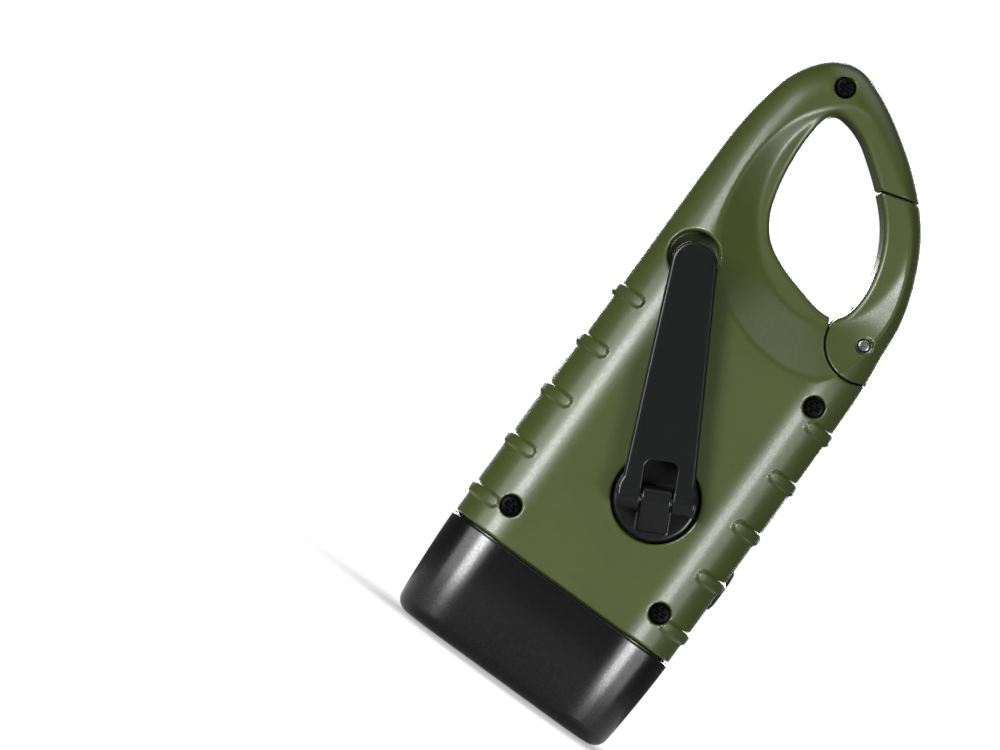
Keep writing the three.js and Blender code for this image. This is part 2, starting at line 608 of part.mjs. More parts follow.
function crankHub() {
  const disc = turned([[0, -HUB.top], [HUB.radius - HUB.edge, -HUB.top],
    [HUB.radius, HUB.edge - HUB.top], [HUB.radius, -HUB.floor - CLEAR],
    [0, -HUB.floor - CLEAR]], 0, 0);
  const slope = BARREL * Math.SQRT1_2;
  const foot = slabX([[-HUB.top + HUB.edge, BARREL], [-FOLD_Y, BARREL],
    [-FOLD_Y - slope, -slope], [-HUB.top - LUG.rise, -LUG.foot],
    [-HUB.top + HUB.edge, -LUG.foot]], -LUG.halfWidth, LUG.halfWidth);
  const barrel = barX(BARREL, -FOLD_Y, -LUG.halfWidth, LUG.halfWidth);
  const shaft = join(rod(HUB.shaft, -HUB.floor - CLEAR - OVERRUN, -wheelFront - CLEAR, 0, 0),
    shaftRod(0, -wheelFront - CLEAR - OVERRUN, -shaftStep),
    rod(HUB.tip, -shaftStep - OVERRUN, -plateBack, 0, 0));
  const groove = cut(rod(HUB.shaft + OVERRUN, -clipFront - CLIP.gap,
    CLIP.thick + CLIP.gap - clipFront, 0, 0), rod(CLIP.inner - CLIP.gap, -farSide, farSide, 0, 0));
  return cut(join(disc, foot, barrel, shaft), groove,
    barX(HINGE_PIN.radius + RUN, -FOLD_Y, -farSide, farSide, SMALL));
}

/** A convex outline from the arm's underside to its top, with a chamfered top edge. */
function armSlab(points) {
  const at = (y, grow) => offset(points, grow).map((p) => p.clone().setY(y));
  return loft([at(-ARM.bottom, 0), at(ARM.edge - ARM.top, 0), at(-ARM.top, -ARM.edge)]);
}

function crankArm() {
  const lean = Math.asin((ARM.root - ARM.tip) / ARM.length);
  const arc = (radius, z, from, to) => Array.from({ length: SMALL }, (_, i) => {
    const angle = from + (to - from) * i / (SMALL - 1);
    return new THREE.Vector3(radius * Math.cos(angle), 0, z + radius * Math.sin(angle));
  });
  const bar = join(armSlab([new THREE.Vector3(-ARM.root, 0, 0), new THREE.Vector3(ARM.root, 0, 0),
    ...arc(ARM.tip, ARM.length, lean, HALF_TURN - lean)]), armSlab(arc(ARM.flare, 0, 0, HALF_TURN)));
  const barrels = cut(barX(BARREL, -FOLD_Y, -HINGE_PIN.halfLength - ARM.cheek,
    HINGE_PIN.halfLength + ARM.cheek), block([-ARM.slotHalf, -farSide, -farSide],
    [ARM.slotHalf, farSide, farSide]));
  const slot = block([-ARM.slotHalf, -farSide, -farSide], [ARM.slotHalf, farSide, ARM.slot]);
  const under = -ARM.top + ARM.plate;
  const hollowStart = ARM.slot + ARM.wall;
  const tipStart = ARM.length - KNOB.radius - 2 * CLEAR;
  const hollowEnd = tipStart - ARM.wall;
  const halfAt = (z) => ARM.root + (ARM.tip - ARM.root) * z / ARM.length - ARM.wall;
  const hollow = slab([[-halfAt(hollowStart), hollowStart], [halfAt(hollowStart), hollowStart],
    [halfAt(hollowEnd), hollowEnd], [-halfAt(hollowEnd), hollowEnd]]
    .map(([x, z]) => new THREE.Vector2(x, z)), under, farSide);
  const tip = block([-farSide, ARM.tipPlate - ARM.top, tipStart], [farSide, farSide, 2 * farSide]);
  const blind = rod(RIVET.radius + RUN, RIVET.skin - ARM.top, farSide, 0, ARM.length);
  return join(cut(bar, slot, hollow, tip, blind), barrels)
    .subtract(barX(HINGE_PIN.radius + RUN, -FOLD_Y, -HINGE_PIN.halfLength - CLEAR,
      HINGE_PIN.halfLength + CLEAR, SMALL));
}

function crankClip() {
  const ring = cut(rod(clipOuter, -clipFront, CLIP.thick - clipFront, 0, 0, SMALL),
    rod(CLIP.inner, -farSide, farSide, 0, 0));
  return cut(ring, block([0, -farSide, -CLIP.mouth], [farSide, farSide, CLIP.mouth]));
}

const knobTop = ARM.top - ARM.tipPlate - CLEAR;
const dishFloor = ARM.bottom + KNOB.dish;

function crankKnob() {
  const body = turned([[0, -knobTop], [KNOB.radius - KNOB.edge, -knobTop],
    [KNOB.radius, KNOB.edge - knobTop], [KNOB.radius, -ARM.bottom - KNOB.edge],
    [KNOB.radius - KNOB.edge, -ARM.bottom], [0, -ARM.bottom]], 0, ARM.length);
  return cut(body, rod(RIVET.radius + RUN, -farSide, farSide, 0, ARM.length),
    rod(KNOB.dishRadius, -dishFloor, farSide, 0, ARM.length));
}

function knobRivet() {
  const headBack = dishFloor - CLEAR;
  return join(rod(RIVET.head, -headBack, RIVET.headHeight - headBack, 0, ARM.length),
    rod(RIVET.radius, RIVET.skin + CLEAR - ARM.top, -headBack + RIVET.headHeight / 2, 0, ARM.length));
}

// Gears

/** Involute gear along Y; one of its teeth points at the given angle in x and z. */
function gear(teeth, x, z, turn, front, back) {
  const pitch = gearModule * teeth / 2;
  const pressure = PRESSURE_DEGREES * DEGREE;
  const base = pitch * Math.cos(pressure);
  const root = pitch - DEDENDUM_SHARE * gearModule;
  const tip = pitch + ADDENDUM_SHARE * gearModule;
  const involute = (angle) => Math.tan(angle) - angle;
  const atPitch = (gearModule * HALF_TURN - BACKLASH) / (4 * pitch);
  const halfAngle = (radius) =>
    atPitch + involute(pressure) - involute(Math.acos(Math.min(1, base / radius)));
  const foot = Math.max(base, root);
  const flank = [[root, halfAngle(foot)]];
  for (let i = base > root ? 0 : 1; i <= FLANK_STEPS; i += 1) {
    const radius = foot + (tip - foot) * i / FLANK_STEPS;
    flank.push([radius, halfAngle(radius)]);
  }
  const outline = [];
  for (let i = 0; i < teeth; i += 1) {
    const middle = turn + i / teeth * 2 * HALF_TURN;
    const tooth = [...flank.map(([radius, half]) => [radius, -half]),
      ...flank.map(([radius, half]) => [radius, half]).reverse()];
    for (const [radius, angle] of tooth) {
      const place = polar(x, z, radius, middle + angle);
      outline.push(new THREE.Vector2(place.x, place.z));
    }
  }
  return slab(outline, -front, -back);
}

/** A ring sunk into a wheel's face, between its hub and its rim. */
const wheelSink = (x, z, yLow, yHigh) => cut(
  rod(WHEEL_SHARES.rim * gearModule, yLow, yHigh, x, z, ROUND),
  rod(WHEEL_SHARES.hub * gearModule, yLow - OVERRUN, yHigh + OVERRUN, x, z, ROUND));

const crankGear = () => cut(gear(WHEEL_TEETH, 0, 0, compoundTurn + armTurn, wheelFront, wheelBack),
  shaftRod(RUN, -farSide, farSide),
  wheelSink(0, 0, -wheelFront - OVERRUN, WHEEL.sink - wheelFront));

const halfTooth = HALF_TURN / PINION_TEETH;

function compoundGear() {
  const wheel = gear(WHEEL_TEETH, second.x, second.z, rotorTurn, secondFront, secondBack);
  const pinion = gear(PINION_TEETH, second.x, second.z, compoundTurn + HALF_TURN + halfTooth,
    wheelFront + PINION_FRONT, secondFront - PINION_OVER);
  return cut(join(wheel, pinion), rod(AXLE.radius + RUN, -farSide, farSide, second.x, second.z),
    wheelSink(second.x, second.z, -secondBack - WHEEL.sink, farSide));
}

function rotorShaft() {
  const pinion = gear(PINION_TEETH, rotor.x, rotor.z, rotorTurn + HALF_TURN + halfTooth,
    secondFront + PINION_OVER, secondBack - PINION_OVER);
  return join(rod(ROTOR.radius, -ROTOR.front, ROTOR.back, rotor.x, rotor.z), pinion);
}

const rotorMagnet = () => cut(rod(stator.magnet, MAGNET.low, MAGNET.high, rotor.x, rotor.z, ROUND),
  rod(ROTOR.radius + RUN, -farSide, farSide, rotor.x, rotor.z));

const statorCan = () => cut(
  rod(stator.outer, CLEAR - plateBack, STATOR.back, rotor.x, rotor.z, ROUND),
  rod(stator.outer - STATOR.wall, -farSide, STATOR.back - STATOR.wall, rotor.x, rotor.z, ROUND),
  rod(ROTOR.radius + RUN, -farSide, farSide, rotor.x, rotor.z));

const statorCoil = () => cut(
  rod(stator.coilOuter, STATOR_COIL.low, STATOR_COIL.high, rotor.x, rotor.z, ROUND),
  rod(stator.coilInner, -farSide, farSide, rotor.x, rotor.z, ROUND));

function gearPlate() {
  const corners = plateCorners.map(([x, z]) => rod(PLATE_ROUND, -plateFront, -plateBack, x, z));
  const plate = wasm.Manifold.hull(corners);
  return cut(plate, rod(HUB.tip + RUN, -farSide, farSide, HUB.x, HUB.z),
    rod(AXLE.radius + RUN, -farSide, farSide, second.x, second.z),
    rod(ROTOR.radius + RUN, -farSide, farSide, rotor.x, rotor.z),
    ...platePosts.map(([x, z]) => rod(POST.hole, -farSide, farSide, x, z)));
}

/** A slotted screw along Y: its head's under side at y, its shank towards the given side. */
function screw(size, x, y, z, side) {
  const span = (from, to) => [Math.min(from, to), Math.max(from, to)];
  const top = y - side * size.headHeight;
  const head = rod(size.head, ...span(y, top), x, z, FINE);
  const shank = rod(size.shank, ...span(y - side * size.headHeight / 2, y + side * size.reach),
    x, z, FINE);
  const floor = top + side * (size.slotDepth ?? size.depth);
  const [low, high] = span(floor, top - side * OVERRUN);
  return cut(join(head, shank), block([x - farSide, low, z - size.slot / 2],
    [x + farSide, high, z + size.slot / 2]));
}

// Case

const blank = join(cut(caseForm(0, caseBottom), dish(1), dish(-1), loop()), ribs(caseBottom));
const pivotFace = blank.intersect(rod(CLEAR, -farSide, farSide, pivot.x, pivot.z)).boundingBox();
const pinHalf = Math.min(-pivotFace.min[1], pivotFace.max[1]) - PIVOT.sink;

const ringAt = (z, inset) => [z, halfWidth - inset, halfDepth - inset, SHOULDER - inset];

/** The ring below the seam that the head is pushed on to. */
function spigot() {
  const { bottom, top, inset, root, wall } = SPIGOT;
  return cut(join(stack([ringAt(bottom, inset), ringAt(top, inset)]),
    stack([ringAt(caseBottom, root), ringAt(top, root)])),
  stack([ringAt(bottom - OVERRUN, inset + wall), ringAt(top + OVERRUN, inset + wall)]));
}

/** The region of the gate between the pivot and the seam, whose edge is moved down by a gap. */
function gateRegion(start, reach, gap) {
  const from = polar(pivot.x, pivot.z, reach, start * DEGREE);
  return slab([[from.x, from.z], [seamInner.x, seamInner.z - gap], [seamOuter.x, seamOuter.z - gap],
    [farSide, seamOuter.z - gap], [farSide, pivot.z], [pivot.x, pivot.z]]
    .map(([x, z]) => new THREE.Vector2(x, z)), -farSide, farSide);
}

const pivotRod = (radius, yLow = -farSide, yHigh = farSide) =>
  rod(radius, yLow, yHigh, pivot.x, pivot.z, ROUND);

/** The gate's room in the case: all across outside the tongue, and round its end at the tongue. */
function gateRoom() {
  const cheeks = cut(join(pivotRod(knuckle + CLEAR),
    gateRegion(GATE_START_DEGREES, knuckle + CLEAR, 0)), block([-farSide, -TONGUE_HALF, -farSide],
    [farSide, TONGUE_HALF, LENGTH + OVERRUN]));
  const around = cut(gateRegion(TONGUE_START_DEGREES, knuckle + 2 * CLEAR, 0),
    pivotRod(knuckle - CLEAR));
  return join(cheeks, around);
}

function gate() {
  const region = join(pivotRod(knuckle),
    gateRegion(GATE_START_DEGREES, knuckle, GATE_GAP));
  const inner = TONGUE_HALF + CLEAR;
  return cut(blank.intersect(region), pivotRod(knuckle + TONGUE_PLAY, -inner, inner),
    pivotRod(PIVOT.pin + RUN), pivotRod(PIVOT.ring, -farSide, CLEAR - pinHalf),
    pivotRod(PIVOT.ring, pinHalf - CLEAR, farSide));
}

const gatePin = () => rod(PIVOT.pin, -pinHalf, pinHalf, pivot.x, pivot.z);

/** A round wire swept along a curve. */
function wire(points, radius, steps, sides) {
  const curve = new THREE.CatmullRomCurve3(points);
  const frames = curve.computeFrenetFrames(steps, false);
  const rings = [];
  for (let i = 0; i <= steps; i += 1) {
    const centre = curve.getPointAt(i / steps);
    const ring = [];
    for (let k = 0; k < sides; k += 1) {
      const angle = k / sides * 2 * HALF_TURN;
      ring.push(centre.clone().addScaledVector(frames.normals[i], radius * Math.cos(angle))
        .addScaledVector(frames.binormals[i], radius * Math.sin(angle)));
    }
    rings.push(ring);
  }
  return loft(rings);
}

const coilRise = 2 * COIL.wire + COIL.wire / 2;

/** Torsion spring round the gate's pin, with a short straight leg at each end. */
function gateSpring() {
  const points = [];
  const total = COIL.turns * COIL.steps;
  for (let i = 0; i <= total; i += 1) {
    const angle = i / COIL.steps * 2 * HALF_TURN;
    const place = polar(pivot.x, pivot.z, COIL.radius, angle);
    points.push(new THREE.Vector3(place.x, COIL.low + i / COIL.steps * coilRise, place.z));
  }
  points.unshift(points[0].clone().setZ(points[0].z - COIL.leg));
  points.push(points.at(-1).clone().setZ(points.at(-1).z + COIL.leg));
  return wire(points, COIL.wire, total + COIL.turns, COIL.sides);
}

/** Room for the spring in the tongue: a round pocket and a slot for the legs. */
function springRoom() {
  const low = COIL.low - COIL.wire - CLEAR;
  const far = COIL.radius + COIL.wire + CLEAR;
  const reach = COIL.leg + COIL.wire + CLEAR;
  return join(pivotRod(far, low, TONGUE_HALF + OVERRUN),
    block([pivot.x + COIL.radius - COIL.wire - CLEAR, low, pivot.z - reach],
      [pivot.x + far, TONGUE_HALF + OVERRUN, pivot.z + reach]));
}

const buttonAxis = (profile, segments) => turnedX(profile, BUTTON.y, BUTTON.z, segments);
const flangeHigh = halfWidth - WALL - BUTTON.inside;
const flangeLow = flangeHigh - BUTTON.flangeThick;
const switchHigh = halfWidth - SWITCH.behind;
const switchLow = switchHigh - SWITCH.thick;

function pushButton() {
  const top = halfWidth + BUTTON.proud;
  const stemLow = switchHigh + SWITCH.over + CLEAR;
  return buttonAxis([[0, stemLow], [BUTTON.stem, stemLow], [BUTTON.stem, flangeLow],
    [BUTTON.flange, flangeLow], [BUTTON.flange, flangeHigh], [BUTTON.radius, flangeHigh],
    [BUTTON.radius, top - BUTTON.edge], [BUTTON.radius - BUTTON.edge, top], [0, top]], ROUND);
}

/** The switch's plunger, longer and wider by a gap where it cuts its own room. */
const plungerRod = (grow, xLow, xHigh) => buttonAxis([[0, xLow], [SWITCH.plunger + grow, xLow],
  [SWITCH.plunger + grow, xHigh], [0, xHigh]], SMALL);
const plungerLow = switchLow + SWITCH.thick - 2 * TRAVEL;

const switchBody = () => cut(block([switchLow, BUTTON.y - SWITCH.half, BUTTON.z - SWITCH.half],
  [switchHigh, BUTTON.y + SWITCH.half, BUTTON.z + SWITCH.half]),
plungerRod(RUN, plungerLow - TRAVEL - CLEAR, farSide));

const boardHalf = halfWidth - WALL - BOARD.side;
const boardPosts = [-1, 1].flatMap((side) => [BOARD.bottom + BOARD.postEnd, BOARD.top - BOARD.postEnd]
  .map((z) => ({ side, x: side * (boardHalf - BOARD.postSide), z })));
const boardScrews = boardPosts.filter(({ side }) => side < 0);

const mainBoard = () => cut(slab(roundedPlate(boardHalf, BOARD.bottom, BOARD.top, BOARD.corner),
  BOARD.y, BOARD.y + BOARD.thick),
...boardScrews.map(({ x, z }) => rod(POST.hole, -farSide, farSide, x, z)));

/** Button cells side by side along X, with a groove between neighbours. */
function batteryPack() {
  const half = BATTERY.count * BATTERY.cell / 2;
  const profile = [[0, -half]];
  for (let i = 0; i < BATTERY.count; i += 1) {
    const from = i * BATTERY.cell - half;
    profile.push([BATTERY.radius - BATTERY.edge, from], [BATTERY.radius, from + BATTERY.edge],
      [BATTERY.radius, from + BATTERY.cell - BATTERY.edge]);
  }
  profile.push([BATTERY.radius - BATTERY.edge, half], [0, half]);
  return turnedX(profile, BATTERY.y, BATTERY.z, CUP_SEGMENTS);
}

/** Two ribs in the back shell that carry the cells. */
function cradle() {
  const place = BATTERY.count * BATTERY.cell / 2 - CRADLE.side;
  const rib = (x) => block([x - CRADLE.thick / 2, -farSide, caseBottom],
    [x + CRADLE.thick / 2, BATTERY.y, BATTERY.z - CRADLE.sink]);
  return cut(join(rib(-place), rib(place)), turnedX([[0, -farSide],
    [BATTERY.radius + CLEAR, -farSide], [BATTERY.radius + CLEAR, farSide], [0, farSide]],
  BATTERY.y, BATTERY.z));
}

/** Both halves of the case, [front, back]. */
function caseShells() {
  const hollow = caseForm(WALL, caseBottom - OVERRUN)
    .intersect(block([-farSide, -farSide, 0], [farSide, farSide, cavityTop]));
  const bosses = join(
    slab(roundedPlate(frame.half + PAD.side, frame.low - PAD.bottom, cavityTop + PAD.over,
      FRAME.corner), padInner, farSide),
    rod(HUB.boss, -farSide, FLOOR_THICK - HUB.floor, HUB.x, HUB.z, ROUND),
    rod(AXLE.boss, -farSide, -AXLE.bossEnd, second.x, second.z),
    rod(ROTOR.boss, -farSide, -ROTOR.bossEnd, rotor.x, rotor.z),
    ...platePosts.map(([x, z]) => rod(POST.radius, -farSide, -plateFront - CLEAR, x, z)),
    ...boardPosts.map(({ x, z }) => rod(POST.radius, BOARD.y + BOARD.thick + CLEAR, farSide, x, z)),
    ...screwPlaces.map(({ x, z }) => rod(SCREW.boss, -farSide, farSide, x, z)),
    cradle(),
  ).intersect(caseForm(WALL / 2, caseBottom));
  const grab = polar(HUB.x, HUB.z, ARM.length + POCKET.past, QUARTER_TURN - armTurn);
  const pocket = turned([[0, -POCKET.floor], [POCKET.radius - POCKET.edge, -POCKET.floor],
    [POCKET.radius, -POCKET.floor - POCKET.edge], [POCKET.radius, -farSide], [0, -farSide]],
  grab.x, grab.z);
  const tools = [
    slab(frameOutline(CLEAR), frameBack - CLEAR, farSide),
    windowPlate(WINDOW.lap + CLEAR, padInner - OVERRUN, farSide),
    rod(HUB.radius + CLEAR, -farSide, -HUB.floor, HUB.x, HUB.z, ROUND),
    rod(HUB.shaft + RUN, -farSide, 0, HUB.x, HUB.z),
    rod(AXLE.radius + RUN, -AXLE.front - CLEAR, 0, second.x, second.z),
    rod(ROTOR.radius + RUN, -ROTOR.front - CLEAR, 0, rotor.x, rotor.z),
    ...platePosts.map(([x, z]) => rod(POST.hole, -plateFront - POST.depth, 0, x, z)),
    ...boardScrews.map(({ x, z }) => rod(POST.hole, 0, BOARD.y + BOARD.thick + POST.depth, x, z)),
    ...screwPlaces.flatMap(({ x, z, seat }) => [rod(SCREW.recess, -farSide, -seat, x, z),
      rod(SCREW.shank + RUN, -farSide, SCREW.reach + CLEAR, x, z)]),
    pocket, gateRoom(), springRoom(), pivotRod(PIVOT.pin + RUN),
    buttonAxis([[0, 0], [BUTTON.radius + BUTTON.gap, 0], [BUTTON.radius + BUTTON.gap, farSide],
      [0, farSide]], ROUND),
    buttonAxis([[0, halfWidth - BUTTON.ringDepth], [BUTTON.radius + BUTTON.gap + BUTTON.ring,
      halfWidth - BUTTON.ringDepth], [BUTTON.radius + BUTTON.gap + BUTTON.ring, farSide],
    [0, farSide]], ROUND),
  ];
  const whole = cut(join(cut(blank, hollow), spigot(), bosses), ...tools);
  const split = SPLIT_GAP / 2;
  return [[split, farSide], [-farSide, -split]].map(([low, high]) => {
    const half = whole.intersect(block([-farSide, low, 0], [farSide, high, LENGTH + OVERRUN]));
    return half.decompose().sort((a, b) => b.volume() - a.volume())[0];
  });
}

// Assembly

const finish = (color, roughness, metalness) =>
  new THREE.MeshStandardMaterial({ color, roughness, metalness });
const OLIVE = finish(0x5f6a3c, 0.5, 0);
const BLACK = finish(0x232427, 0.5, 0);
const CHARCOAL = finish(0x34363a, 0.45, 0);
const GLASS = finish(0xdfe6ea, 0.1, 0);
const CHROME = finish(0xd8dadd, 0.15, 1);
const LAMP = finish(0xf3efe0, 0.2, 0);
const BOARD_GREEN = finish(0x2c6b3f, 0.5, 0);
const STEEL = finish(0xb6b9bd, 0.3, 1);
const NYLON = finish(0xe9e4d4, 0.5, 0);
const CELL_RED = finish(0x52201c, 0.3, 0);
const COPPER = finish(0xb87333, 0.35, 1);

/** A named mesh from a solid, with smooth shading except across sharp edges. */
function mesh(name, material, body) {
  const { vertProperties, triVerts } = body.simplify(FLAT_ENOUGH).getMesh();
  const geometry = new THREE.BufferGeometry();
  geometry.setAttribute('position', new THREE.BufferAttribute(new Float32Array(vertProperties), 3));
  geometry.setIndex([...triVerts]);
  const made = new THREE.Mesh(toCreasedNormals(geometry, CREASE_DEGREES * DEGREE), material);
  made.name = name;
  return made;
}

const [frontShell, backShell] = caseShells();
const crankPlace = new THREE.Matrix4().makeRotationY(armTurn).setPosition(HUB.x, 0, HUB.z);
const onCrank = (body) => body.transform(crankPlace.elements);

const pieces = [
  ['front_shell', OLIVE, frontShell],
  ['back_shell', OLIVE, backShell],
  ['head_bezel', BLACK, headBezel()],
  ['lens', GLASS, headPlate(lensLow, lensHigh)],
  ['reflector', CHROME, reflector()],
  ...cupPlaces.map((x, i) => [`led_${i + 1}`, LAMP, led(x)]),
  ['led_board', BOARD_GREEN, headPlate(boardLow, boardHigh)],
  ['solar_frame', CHARCOAL, solarFrame()],
  ['solar_window', CELL_RED, windowPlate(WINDOW.lap, windowBack, windowTop)],
  ['solar_cell', CELL_RED, windowPlate(WINDOW.lap, cellBack, cellTop)],
  ['crank_hub', BLACK, onCrank(crankHub())],
  ['crank_gear', NYLON, onCrank(crankGear())],
  ['crank_clip', STEEL, onCrank(crankClip())],
  ['crank_arm', BLACK, onCrank(crankArm())],
  ['hinge_pin', STEEL, onCrank(barX(HINGE_PIN.radius, -FOLD_Y, -HINGE_PIN.halfLength,
    HINGE_PIN.halfLength, SMALL))],
  ['crank_knob', BLACK, onCrank(crankKnob())],
  ['knob_rivet', STEEL, onCrank(knobRivet())],
  ['compound_gear', NYLON, compoundGear()],
  ['gear_axle', STEEL, rod(AXLE.radius, -AXLE.front, -plateBack, second.x, second.z)],
  ['rotor_shaft', STEEL, rotorShaft()],
  ['rotor_magnet', CHARCOAL, rotorMagnet()],
  ['stator_can', STEEL, statorCan()],
  ['stator_coil', COPPER, statorCoil()],
  ['gear_plate', STEEL, gearPlate()],
  ...platePosts.map(([x, z], i) => [`plate_screw_${i + 1}`, STEEL,
    screw(SMALL_SCREW, x, CLEAR - plateBack, z, -1)]),
  ['main_board', BOARD_GREEN, mainBoard()],
  ...boardScrews.map(({ x, z }, i) => [`board_screw_${i + 1}`, STEEL,
    screw(SMALL_SCREW, x, BOARD.y - CLEAR, z, 1)]),
  ['battery_pack', STEEL, batteryPack()],
  ['switch_body', BLACK, switchBody()],
  ['switch_plunger', NYLON, plungerRod(0, plungerLow, switchHigh + SWITCH.over)],
  ['push_button', BLACK, pushButton()],
  ['gate', OLIVE, gate()],
  ['gate_pin', STEEL, gatePin()],
  ['gate_spring', STEEL, gateSpring()],
  ...screwPlaces.map(({ x, z, seat }, i) => [`case_screw_${i + 1}`, STEEL,
    screw(SCREW, x, -seat - CLEAR, z, 1)]),
];

// The frame stands centred over the origin, seen from above.
const flashlight = new THREE.Group();
flashlight.name = 'hand_crank_flashlight';
flashlight.add(...pieces.map(([name, material, body]) => mesh(name, material, body)));
const middle = new THREE.Box3().setFromObject(flashlight).getCenter(new THREE.Vector3());
flashlight.position.set(-middle.x, -middle.y, 0);

export default flashlight;
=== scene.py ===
# %% [markdown]
# # A hand crank flashlight, dressed for the camera
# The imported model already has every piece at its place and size. This file gives the pieces that
# show their real surfaces: the moulded case with its soft edges, the gate, the head, the crank, the
# solar panel and the screws. Each new piece stands exactly where its solid stands.

# %% Load the frame
import math

import bpy
import mathutils
import numpy as np
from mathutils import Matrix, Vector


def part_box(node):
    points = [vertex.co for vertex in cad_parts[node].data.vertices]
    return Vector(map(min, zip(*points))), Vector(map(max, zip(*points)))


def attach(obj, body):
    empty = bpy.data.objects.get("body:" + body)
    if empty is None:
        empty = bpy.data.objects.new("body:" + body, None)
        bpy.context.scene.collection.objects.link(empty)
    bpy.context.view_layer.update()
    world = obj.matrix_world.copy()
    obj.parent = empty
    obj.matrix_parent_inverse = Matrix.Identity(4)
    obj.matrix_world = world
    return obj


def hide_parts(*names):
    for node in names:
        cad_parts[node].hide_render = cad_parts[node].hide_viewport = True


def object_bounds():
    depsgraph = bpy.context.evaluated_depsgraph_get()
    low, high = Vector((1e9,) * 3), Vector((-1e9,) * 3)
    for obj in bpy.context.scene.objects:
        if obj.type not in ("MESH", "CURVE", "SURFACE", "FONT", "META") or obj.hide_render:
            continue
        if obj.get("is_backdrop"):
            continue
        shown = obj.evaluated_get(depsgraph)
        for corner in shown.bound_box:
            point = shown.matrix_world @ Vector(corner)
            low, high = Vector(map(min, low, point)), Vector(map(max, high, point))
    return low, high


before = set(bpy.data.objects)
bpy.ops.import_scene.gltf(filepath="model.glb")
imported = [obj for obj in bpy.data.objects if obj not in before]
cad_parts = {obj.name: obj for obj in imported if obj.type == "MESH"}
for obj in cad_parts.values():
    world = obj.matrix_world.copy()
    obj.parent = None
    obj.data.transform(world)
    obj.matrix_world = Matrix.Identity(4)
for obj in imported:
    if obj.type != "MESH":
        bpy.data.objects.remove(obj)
cad_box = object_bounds()
print("pieces in the frame:", len(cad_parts))

# %% [markdown]
# ## Sizes
# The case and the tail are drawn in millimetres from the same numbers as the solids, in the
# designer's own axes: x towards the gate, y out of the solar panel, z from the rim to the tail.
# The frame's origin is the middle of its box, so points move by a small shift at the end.

# %% Sizes of the case
SHIFT = np.array((-0.225, 2.05, 0.0))  # from the designer's axes to the frame
LENGTH = 140.0
HALF_WIDTH = 25.9
HALF_DEPTH = 18.0
SEAM = 22.0
SEAM_GAP = 0.5
SPLIT_GAP = 0.3
WALL = 2.0
SHOULDER, TAIL_SHOULDER = 12.0, 6.5
TAIL_HALF_DEPTH = 10.2
TAPER_START = 76.0
CAVITY_TOP = 81.0
RING_HALF_DEPTH = 9.75
TAIL = ((1, 0.53), (0.988, 0.629), (0.958, 0.686), (0.927, 0.743), (0.83, 0.8), (0.672, 0.857),
        (0.49, 0.898), (0.197, 0.943), (-0.215, 0.987), (-0.483, 0.9995), (-0.7, 0.986),
        (-0.873, 0.943), (-0.954, 0.886), (-0.99, 0.83), (-1, 0.74))
LOOP = ((-0.405, 0.929), (-0.3, 0.929), (-0.15, 0.92), (0, 0.902), (0.178, 0.876), (0.37, 0.839),
        (0.49, 0.8), (0.552, 0.76), (0.562, 0.732), (0.537, 0.706), (0.47, 0.691), (0.36, 0.688),
        (0.15, 0.696), (-0.08, 0.709), (-0.26, 0.728), (-0.38, 0.757), (-0.452, 0.797),
        (-0.49, 0.843), (-0.494, 0.886), (-0.468, 0.915))
DISH_TILT = math.radians(27)
DISH_FLOOR = dict(x=1.2, z=113.2, long=21.0, short=15.5)
DISH_BRIM = dict(x=5.0, z=115.9, long=34.0, short=31.0)

# %% [markdown]
# ## Curves through a few places
# The outline of the tail and the edge of the loop are smooth curves through a handful of places.
# A centripetal Catmull-Rom curve passes through every place without loops, and it is the curve the
# solids use, so the dressed tail has the same outline.

# %% Smooth curves
def smooth_curve(places, steps, closed=False):
    """Points on a centripetal Catmull-Rom curve: between two places the position is a cubic in t,
    and the slope at each place is the difference of its neighbours, weighed by the square roots
    of the distances."""
    p = np.array(places, float)
    if closed:
        p = np.vstack((p[-1], p, p[0], p[1]))
    else:
        p = np.vstack((2 * p[0] - p[1], p, 2 * p[-1] - p[-2]))
    a, b, c, d = p[:-3], p[1:-2], p[2:-1], p[3:]
    d0, d1, d2 = (np.sum((v - u) ** 2, axis=1, keepdims=True) ** 0.25
                  for u, v in ((a, b), (b, c), (c, d)))
    m1 = d1 * ((b - a) / d0 - (c - a) / (d0 + d1) + (c - b) / d1)
    m2 = d1 * ((c - b) / d1 - (d - b) / (d1 + d2) + (d - c) / d2)
    t = (np.arange(steps) / steps)[None, :, None]
    b, c, m1, m2 = (v[:, None, :] for v in (b, c, m1, m2))
    curve = b + m1 * t + (3 * (c - b) - 2 * m1 - m2) * t ** 2 + (2 * (b - c) + m1 + m2) * t ** 3
    curve = curve.reshape(-1, p.shape[1])
    return curve if closed else np.vstack((curve, p[-2]))


TO_MM = np.array((HALF_WIDTH, LENGTH))
BELOW = -60.0  # the outline goes on below the seam, which cuts it later
TAIL_STEPS, LOOP_STEPS = 24, 12  # points of each curve between two of its places
outline = np.vstack(((HALF_WIDTH, BELOW), smooth_curve(np.array(TAIL) * TO_MM, TAIL_STEPS),
                     (-HALF_WIDTH, BELOW)))
loop_edge = smooth_curve(np.array(LOOP) * TO_MM, LOOP_STEPS, closed=True)
print("outline points:", len(outline), "its top:", round(outline[:, 1].max(), 2), "mm")

# %% [markdown]
# ## A table of distances
# Most of the case is decided in the flat view: how far is a place from the outline, and from the
# loop? Both are worked out once on a fine square grid and looked up with straight interpolation.

# %% Distances in the flat view
STEP = 0.25  # mm between the places of the table
TABLE_HALF, TABLE_LOW, TABLE_HIGH = 32, 10, 146
LAST = 1.001  # keeps the four places round one near the end inside the table
TINY = 1e-12  # keeps a division by no length finite
table_x = np.arange(-TABLE_HALF, TABLE_HALF + STEP, STEP)
table_z = np.arange(TABLE_LOW, TABLE_HIGH + STEP, STEP)
flat_view = np.meshgrid(table_x, table_z, indexing="ij")


